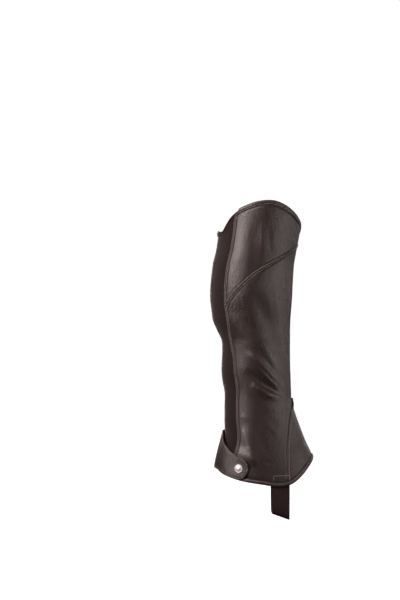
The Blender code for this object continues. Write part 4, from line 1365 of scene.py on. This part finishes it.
def flap_leather(row, leather, flesh):
    """The snap flap itself, with its rolled edge, a stitched groove and the dish of the snap; its
    rolled edge has a painted highlight and its groove painted shade.
    """
    angle, height, share = flap_grid()
    faces = cells(np.arange(angle.size).reshape(angle.shape))
    points = bare_form(angle, height).reshape(-1, 3)
    rim = dots(Seam(*flap_outline(0.0)), FLAP_RIM_STEP)
    roll = rolled(nearest(points, rim)[0])
    groove = stitched(points, row)
    snap = bare_form(np.array(math.radians(SNAP_DEGREES)), np.array(SNAP_HEIGHT))
    from_snap = np.linalg.norm(points - snap, axis=-1)
    dished = -SNAP_DISH_DEPTH * np.exp(-((from_snap / SNAP_DISH_WIDTH) ** 2))
    out = flap_out(angle, share)
    outer = form(angle, height, out + (roll + groove + dished).reshape(angle.shape))
    inner = form(angle, height, out - FLAP_WALL)
    # Painted shade in the stitched groove, painted highlight along the rolled rim
    marks = np.clip(groove / GROOVE_DEPTH - PAINTED_RIM_HIGHLIGHT * roll / ROLL_DEPTH, -1, 1)
    points = np.concatenate([outer.reshape(-1, 3), inner.reshape(-1, 3)])
    return add_object("ankle_flap_leather", points, closed(faces, angle.size), [leather, flesh],
                      turned_over(faces), marks=np.concatenate([marks, np.zeros(angle.size)]))


def flap(leather, flesh, metal, thread):
    """The snap flap over the end of the zip, its stitched edge and its snap."""
    angle, height = flap_outline(FLAP_STITCH_IN)
    made = flap_leather(Seam(angle, height), leather, flesh)
    low, high, _, _ = flap_edges(angle)
    share = np.clip((height - low) / (high - low), 0, 1)
    row = thread_line(angle, height, flap_out(angle, share) + THREAD_OUT)
    thread_row = sewn("flap_stitching", [row], thread)
    cap = turned("snap_cap_nickel", SNAP_PROFILE, seat(SNAP_DEGREES, SNAP_HEIGHT, SNAP_OUT), metal)
    dress(made, "ankle_flap")
    dress(thread_row, None)
    dress(cap, "snap_cap")


def strap_face(wall, rib, x, path):
    """One face of the strap, from its sewn end on the outer side to the one on the inner side."""
    sides = []
    for side in (OUTER_SIDE, INNER_SIDE):
        rows = []
        for share, height in path:
            sewn_at = min(max(height, STRAP_SEWN_END), STRAP_SEWN_TOP)
            level_out = form(angle_of(side, x, sewn_at), sewn_at, -(STRAP_TUCK + wall) + rib)
            drop = ramp(height, *STRAP_FREE) * STRAP_SLOPE * (x - x.mean())
            z = height - drop + (wall - rib) * ramp(share, *STRAP_TURN)
            rows.append(np.stack([x, level_out[:, 1] * share, z], axis=-1))
        sides.append(rows)
    outer, inner = sides
    return np.array(outer + inner[-2::-1])


def strap(elastic):
    """The stirrup elastic, sewn inside the hem on both sides and passing under the boot."""
    columns = np.array(STRAP_PATH).T
    numbers = np.arange(len(STRAP_PATH), dtype=float)
    fine = np.linspace(0, len(STRAP_PATH) - 1, STRAP_ROWS)
    path = np.stack([smooth(numbers, column, fine) for column in columns], axis=-1)
    x = np.linspace(STRAP_BACK, STRAP_BACK + STRAP_WIDTH, STRAP_COLUMNS)
    across = np.abs(x - x.mean()) / (STRAP_WIDTH / 2)
    rib = STRAP_RIB * np.cos(TURN * (x - STRAP_BACK) / STRAP_RIB_PITCH)
    rib -= STRAP_EDGE_DROP * across**STRAP_EDGE_POWER
    outer = strap_face(0.0, rib, x, path)
    inner = strap_face(STRAP_WALL, 0 * rib, x, path)
    ids = np.arange(outer[..., 0].size).reshape(outer.shape[:2])
    run = run_along(outer[:, STRAP_COLUMNS // 2])
    flat = np.stack(np.meshgrid(x, run), axis=-1).reshape(-1, 2)
    points = np.concatenate([outer.reshape(-1, 3), inner.reshape(-1, 3)])
    made = add_object("stirrup_strap_weave", points, closed(cells(ids.T), ids.size), [elastic],
                      uv=np.tile(flat, (2, 1)))
    dress(made, "stirrup_strap")


def label(elastic):
    """The small woven label beside the elastic's seam, left bare."""
    far = EDGE.beside(-(EDGE_STRIP_WIDTH / 2 + LABEL_BESIDE))
    left = far.beside(-LABEL_WIDTH).angle_at
    grid = patch(left, far.angle_at, steady(LABEL_BOTTOM), steady(LABEL_TOP), *GRID["label"])
    made = shell("side_label_weave", [grid], LABEL_THICK, [elastic],
                 LABEL_THICK + LABEL_OUT - ELASTIC_SET_BACK, roll=False, uv=zip_distance,
                 extra=gathers)
    dress(made, "side_label")


def strip_rows(seam, stitch_out, strip_out):
    """The two rows of stitches down an upright strip."""
    top = meets(seam, UNDER_TOP) - ROW_INSET
    bottom = meets(seam, OVER_HEM) + ROW_INSET
    return [row_down(seam.beside(way * stitch_out), top, bottom, strip_out) for way in (-1, 1)]


def stitching(thread):
    """The rows of stitches along the seams and edges."""
    on_strip = STRIP_PROUD + THREAD_OUT
    half = spanish_half()
    first = float(EDGE.angle_at(SPANISH_ROW_HEIGHTS[0])) + SPANISH_ROW_INSETS[0]
    last = float(INNER.angle_at(SPANISH_ROW_HEIGHTS[1])) - SPANISH_ROW_INSETS[1]
    zip_ends = (CHAIN_TOP, float(OVER_HEM(0.0)) + ROW_INSET)
    top_start = float(EDGE.angle_at(TOP_ROW_HEIGHT)) + TOP_ROW_INSETS[0]
    top_row = TOP.beside(-TOP_STITCH_DOWN)
    hem_row = HEM.beside(HEM_STITCH_UP)
    hem_ends = (HEM_ROW_INSET, TURN - HEM_ROW_INSET)
    made = {
        "edge_strip_stitching": strip_rows(EDGE, EDGE_STITCH_OUT, on_strip),
        "inner_strip_stitching": strip_rows(INNER, INNER_STITCH_OUT, on_strip),
        "spanish_stitching": [
            row_round(SPANISH.beside(way * (half - SPANISH_STITCH_IN)), first, last, on_strip)
            for way in (-1, 1)
        ],
        "gusset_stitching": [
            row_down(line, GUSSET_STITCH_TOP, meets(line, OVER_HEM) + ROW_INSET,
                     lambda height: gusset_out(height) + THREAD_OUT)
            for line in gusset_rows()
        ],
        "zip_stitching": [
            row_down(BACK_LINE.beside(ZIP_STITCH_OUT), *zip_ends, THREAD_OUT - ELASTIC_SET_BACK),
            row_down(BACK_AGAIN.beside(-ZIP_STITCH_OUT), *zip_ends, THREAD_OUT),
        ],
        "top_stitching": [
            row_round(top_row, top_start, TURN - TOP_ROW_INSETS[1], TOP_STITCH_PROUD)
        ],
        "hem_stitching": [row_round(hem_row, *hem_ends, HEM_STITCH_PROUD)],
    }
    for name, rows in made.items():
        dress(sewn(name, rows, thread), None)
    boxes = [
        thread_line(line.angles, line.heights, THREAD_OUT)
        for side in (OUTER_SIDE, INNER_SIDE)
        for line in strap_box(side)
    ]
    dress(sewn("strap_box_stitching", boxes, thread, BOX_STITCH_PITCH, BOX_STITCH_LENGTH), None)


class Look:
    """A material, and the nodes that feed its shader. Inputs are numbers, colours or outputs of
    nodes, and sizes are in millimetres."""

    def __init__(self, name):
        self.material = bpy.data.materials.new(name)
        self.material.use_nodes = True
        self.tree = self.material.node_tree
        self.shader = self.tree.nodes["Principled BSDF"]
        self.place = self.node("ShaderNodeTexCoord").outputs["Object"]

    def node(self, kind, settings=None, **inputs):
        made = self.tree.nodes.new(kind)
        for key, value in (settings or {}).items():
            setattr(made, key, value)
        for key, value in inputs.items():
            self.feed(made.inputs[key.replace("_", " ")], value)
        return made

    def feed(self, socket, value):
        if isinstance(value, bpy.types.NodeSocket):
            self.tree.links.new(value, socket)
        else:
            socket.default_value = value

    def work_out(self, operation, first, second=0.0):
        made = self.node("ShaderNodeMath", {"operation": operation})
        self.feed(made.inputs[0], first)
        self.feed(made.inputs[1], second)
        return made.outputs[0]

    def weighed(self, first, weight, second, other):
        """The sum of two values, each times its weight."""
        parts = self.work_out("MULTIPLY", first, weight), self.work_out("MULTIPLY", second, other)
        return self.work_out("ADD", *parts)

    def wave(self, value, pitch):
        return self.work_out("SINE", self.work_out("MULTIPLY", value, TURN / (pitch * MM)))

    def ranged(self, value, low, high, to_low=0.0, to_high=1.0):
        return self.node("ShaderNodeMapRange", Value=value, From_Min=low, From_Max=high,
                         To_Min=to_low, To_Max=to_high).outputs[0]

    def blended(self, share, first, second):
        made = self.node("ShaderNodeMix", {"data_type": "RGBA"})
        for number, value in ((0, share), (6, first), (7, second)):
            self.feed(made.inputs[number], value)
        return made.outputs[2]

    def noisy(self, size, detail=3.0, roughness=0.55):
        """Soft noise whose clouds are about as wide as size."""
        return self.node("ShaderNodeTexNoise", Vector=self.place, Scale=1 / (size * MM),
                         Detail=detail, Roughness=roughness).outputs["Fac"]

    def bumped(self, height, distance, strength, **inputs):
        return self.node("ShaderNodeBump", Strength=strength, Distance=distance * MM, Height=height,
                         **inputs).outputs[0]

    def finished(self, **inputs):
        """The material, with these inputs of its shader."""
        for key, value in inputs.items():
            self.feed(self.shader.inputs[key.replace("_", " ")], value)
        return self.material


def colour(values, share=1.0):
    return (values[0] * share, values[1] * share, values[2] * share, 1.0)


def leather_look(name, tone, cell, rough, coat):
    """Smooth waxed leather with a fine pebbled grain, painted darker as shade in its creases,
    grooves and along its edges, and painted lighter as highlight and wear on ridges and lit edges.
    cell is the grain's size and rough the smallest and largest roughness."""
    look = Look(name)
    shade_and_wear = look.node("ShaderNodeAttribute", {"attribute_name": "shade_and_wear"}).outputs["Fac"]
    cloudy = look.noisy(42.0)
    patchy = look.noisy(9.0, 4.0)
    mottled = look.noisy(2.2)
    fine = look.noisy(1.1, 2.0)
    wander = look.node("ShaderNodeTexNoise", Vector=look.place, Scale=1 / (3.0 * MM), Detail=1.0)
    bent = look.node("ShaderNodeVectorMath", {"operation": "MULTIPLY_ADD"})
    for number, value in enumerate((wander.outputs["Color"], (0.9 * MM,) * 3, look.place)):
        look.feed(bent.inputs[number], value)
    cracks = look.node("ShaderNodeTexVoronoi", {"feature": "DISTANCE_TO_EDGE"},
                       Vector=bent.outputs[0], Scale=1 / (cell * MM))
    pebble = look.ranged(cracks.outputs["Distance"], 0.0, 0.22)
    tint = look.ranged(look.weighed(cloudy, 0.7, patchy, 0.3), 0.32, 0.68)
    base = look.blended(tint, colour(tone, 0.80), colour(tone, 1.22))
    # Painted highlight and wear where the marks are above 0
    base = look.blended(look.ranged(shade_and_wear, 0.0, 1.0, 0.0, 0.55), base, colour(tone, 2.6))
    # Painted shade where the marks are below 0
    base = look.blended(look.ranged(shade_and_wear, 0.0, -1.0, 0.0, 0.85), base, colour(tone, 0.25))
    base = look.blended(look.ranged(pebble, 0.0, 0.7, 0.34, 0.0), base, colour(tone, 0.35))
    gloss = look.ranged(look.weighed(patchy, 0.5, mottled, 0.5), 0.35, 0.65, *rough)
    dull = look.ranged(shade_and_wear, 0.0, -1.0, 0.0, 0.35)
    grain = look.bumped(look.weighed(pebble, 0.7, fine, 0.4), 0.2, 0.6)
    return look.finished(Base_Color=base, Roughness=look.work_out("ADD", dull, gloss),
                         Normal=look.bumped(mottled, 0.48, 1.0, Normal=grain),
                         Coat_Weight=coat, Coat_Roughness=0.35)


def flesh_look():
    """The leather's brushed inner side."""
    look = Look("flesh_side")
    nap = look.noisy(0.7, 4.0)
    cloudy = look.ranged(look.noisy(24.0), 0.3, 0.7)
    base = look.blended(cloudy, colour(FLESH_TONE, 0.75), colour(FLESH_TONE, 1.2))
    base = look.blended(look.ranged(nap, 0.35, 0.65, 0.0, 0.5), base, colour(FLESH_TONE, 1.5))
    return look.finished(Base_Color=base, Roughness=0.95, Sheen_Weight=0.3,
                         Normal=look.bumped(nap, 0.25, 0.7))


def woven_look(name, tone, rib_pitch, knit_pitch, rib_strength, sheen):
    """Woven elastic: ribs up its length and fine picks across them."""
    look = Look(name)
    cloth = look.node("ShaderNodeUVMap", {"uv_map": "cloth"}).outputs["UV"]
    across, along = look.node("ShaderNodeSeparateXYZ", Vector=cloth).outputs[:2]
    stray = look.work_out("SUBTRACT", look.noisy(6.0), 0.5)
    across = look.work_out("ADD", across, look.work_out("MULTIPLY", stray, 0.5 * MM))
    rib = look.wave(across, rib_pitch)
    crossed = look.work_out("MULTIPLY", rib, look.wave(along, knit_pitch))
    rise = look.work_out("ADD", look.weighed(rib, 0.32, crossed, 0.18), 0.5)
    fuzz = look.noisy(0.6)
    cloudy = look.ranged(look.noisy(20.0), 0.3, 0.7, 0.0, 0.35)
    base = look.blended(look.ranged(rise, 0.1, 0.9), colour(tone, 0.62), colour(tone, 1.25))
    base = look.blended(cloudy, base, colour(tone, 0.7))
    base = look.blended(look.ranged(fuzz, 0.45, 0.75, 0.0, 0.4), base, colour(tone, 1.7))
    height = look.work_out("ADD", rise, look.work_out("MULTIPLY", fuzz, 0.3))
    return look.finished(Base_Color=base, Roughness=look.ranged(fuzz, 0.3, 0.7, 0.82, 0.98),
                         Normal=look.bumped(height, 0.3, rib_strength), Sheen_Weight=sheen,
                         Sheen_Roughness=0.6, Specular_IOR_Level=0.15)


def thread_look():
    look = Look("sewing_thread")
    strands = look.noisy(0.35, 2.0)
    base = look.blended(look.ranged(strands, 0.35, 0.65), colour(THREAD_TONE, 0.6),
                        colour(THREAD_TONE, 1.4))
    return look.finished(Base_Color=base, Roughness=0.6, Normal=look.bumped(strands, 0.08, 0.5))


def metal_look(name, tone, rough, scuffs):
    """Plated metal with faint scuffs and tarnish."""
    look = Look(name)
    tarnish = look.ranged(look.noisy(2.6, 4.0), 0.35, 0.7, 0.0, 0.5)
    scratch = look.noisy(0.5)
    return look.finished(Base_Color=look.blended(tarnish, colour(tone), colour(tone, 0.72)),
                         Metallic=1.0, Normal=look.bumped(scratch, 0.05, 0.15),
                         Roughness=look.ranged(scratch, 0.35, 0.65, rough, rough + scuffs))


def plastic_look():
    look = Look("zip_nylon")
    cloudy = look.noisy(3.0)
    base = look.blended(look.ranged(cloudy, 0.35, 0.65), colour(ZIP_TONE, 0.8),
                        colour(ZIP_TONE, 1.3))
    return look.finished(Base_Color=base, Roughness=look.ranged(cloudy, 0.3, 0.7, 0.38, 0.5))


def pale_look(name, near, far):
    """A plain pale surround that glows evenly in sight, and takes soft shadows near the leg."""
    look = Look(name)
    away = look.node("ShaderNodeVectorMath", {"operation": "LENGTH"})
    look.feed(away.inputs[0], look.place)
    glow = look.ranged(away.outputs["Value"], *GLOW_REACH, near, far)
    return look.finished(Base_Color=colour((PALE_SHADE,) * 3), Roughness=0.9,
                         Specular_IOR_Level=0.0, Emission_Color=WHITE, Emission_Strength=glow)


def surround(name, mesh, look):
    """A part of the plain studio that the camera sees and the leather doesn't reflect."""
    mesh.materials.append(look)
    made = linked(name, mesh)
    made.visible_diffuse = False
    made.visible_glossy = False
    made.visible_transmission = False
    made.visible_shadow = False
    return made


def floor():
    """A plain pale floor under the leg, and a pale dome round it."""
    mesh = bpy.data.meshes.new("floor")
    turn = turns(FLOOR_SIDES)
    rim = np.stack([np.cos(turn), np.sin(turn), 0 * turn], axis=-1) * FLOOR_REACH
    mesh.from_pydata(rim.tolist(), [], [list(range(len(rim)))])
    ground = surround("floor", mesh, pale_look("pale_floor", PALE_NEAR, PALE_FAR))
    ground.location = (0, 0, FLOOR_HEIGHT * MM)
    dome = bpy.data.meshes.new("dome")
    shape = bmesh.new()
    bmesh.ops.create_uvsphere(shape, u_segments=DOME_CELLS[0], v_segments=DOME_CELLS[1],
                              radius=FLOOR_REACH * DOME_REACH)
    bmesh.ops.reverse_faces(shape, faces=shape.faces[:])
    shape.to_mesh(dome)
    shape.free()
    dome.shade_smooth()
    surround("dome", dome, pale_look("pale_dome", PALE_FAR, PALE_FAR))


def camera():
    """The photograph's level view of the leg's outer side."""
    made = linked("camera", bpy.data.cameras.new("camera"))
    made.location = (PHOTO_CENTRE[0] * MM, -CAMERA_AWAY * MM, PHOTO_CENTRE[1] * MM)
    made.rotation_euler = (math.pi / 2, 0, 0)
    made.data.sensor_fit = "VERTICAL"
    made.data.angle = 2 * math.atan(MM_A_PIXEL * PHOTO_ROWS / 2 / CAMERA_AWAY)
    made.data.clip_end = CLIP_END
    bpy.context.scene.camera = made


def lights():
    """Soft studio panels round the leg, and an even pale surround."""
    for name, azimuth, elevation, away, width, height, watts, aim, spread in LIGHTS:
        lamp = bpy.data.lights.new(name, "AREA")
        lamp.shape = "RECTANGLE"
        lamp.size = width
        lamp.size_y = height
        lamp.energy = watts
        lamp.spread = math.radians(spread)
        lamp.color = LIGHT_TONE
        turn = math.radians(azimuth)
        rise = math.radians(elevation)
        reach = math.cos(rise)
        toward = Vector((math.sin(turn) * reach, -math.cos(turn) * reach, math.sin(rise)))
        made = linked(name, lamp)
        made.location = toward * away + Vector((0, 0, aim))
        made.rotation_euler = toward.to_track_quat("Z", "Y").to_euler()
        made.visible_camera = False
    world = bpy.data.worlds.new("surround")
    world.use_nodes = True
    background = world.node_tree.nodes["Background"]
    background.inputs["Color"].default_value = WHITE
    background.inputs["Strength"].default_value = WORLD_STRENGTH
    bpy.context.scene.world = world
    bpy.context.scene.view_settings.view_transform = "Standard"


def build():
    camera()
    lights()
    floor()
    leather = leather_look("chap_leather", LEATHER_TONE, 1.6, (0.295, 0.445), 0.04)
    binding = leather_look("edge_leather", BINDING_TONE, 1.28, (0.36, 0.48), 0.05)
    flesh = flesh_look()
    elastic = woven_look("side_elastic", ELASTIC_TONE, 1.5, 0.9, 0.8, 0.03)
    webbing = woven_look("strap_webbing", STRAP_TONE, 1.9, 0.8, 0.5, 0.04)
    thread = thread_look()
    bronze = metal_look("dark_bronze", BRONZE_TONE, 0.3, 0.15)
    outer_panels(leather, flesh)
    gusset(leather, flesh)
    inner_side(leather, flesh)
    elastic_side(elastic)
    strips(binding)
    bindings(binding, elastic)
    zip_tapes(webbing)
    zip_teeth(plastic_look())
    zip_hardware(bronze)
    flap(leather, flesh, metal_look("nickel", NICKEL_TONE, 0.42, 0.12), thread)
    strap(webbing)
    label(elastic)
    stitching(thread)
    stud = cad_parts["snap_stud"].data
    stud.materials.clear()
    stud.materials.append(bronze)


build()
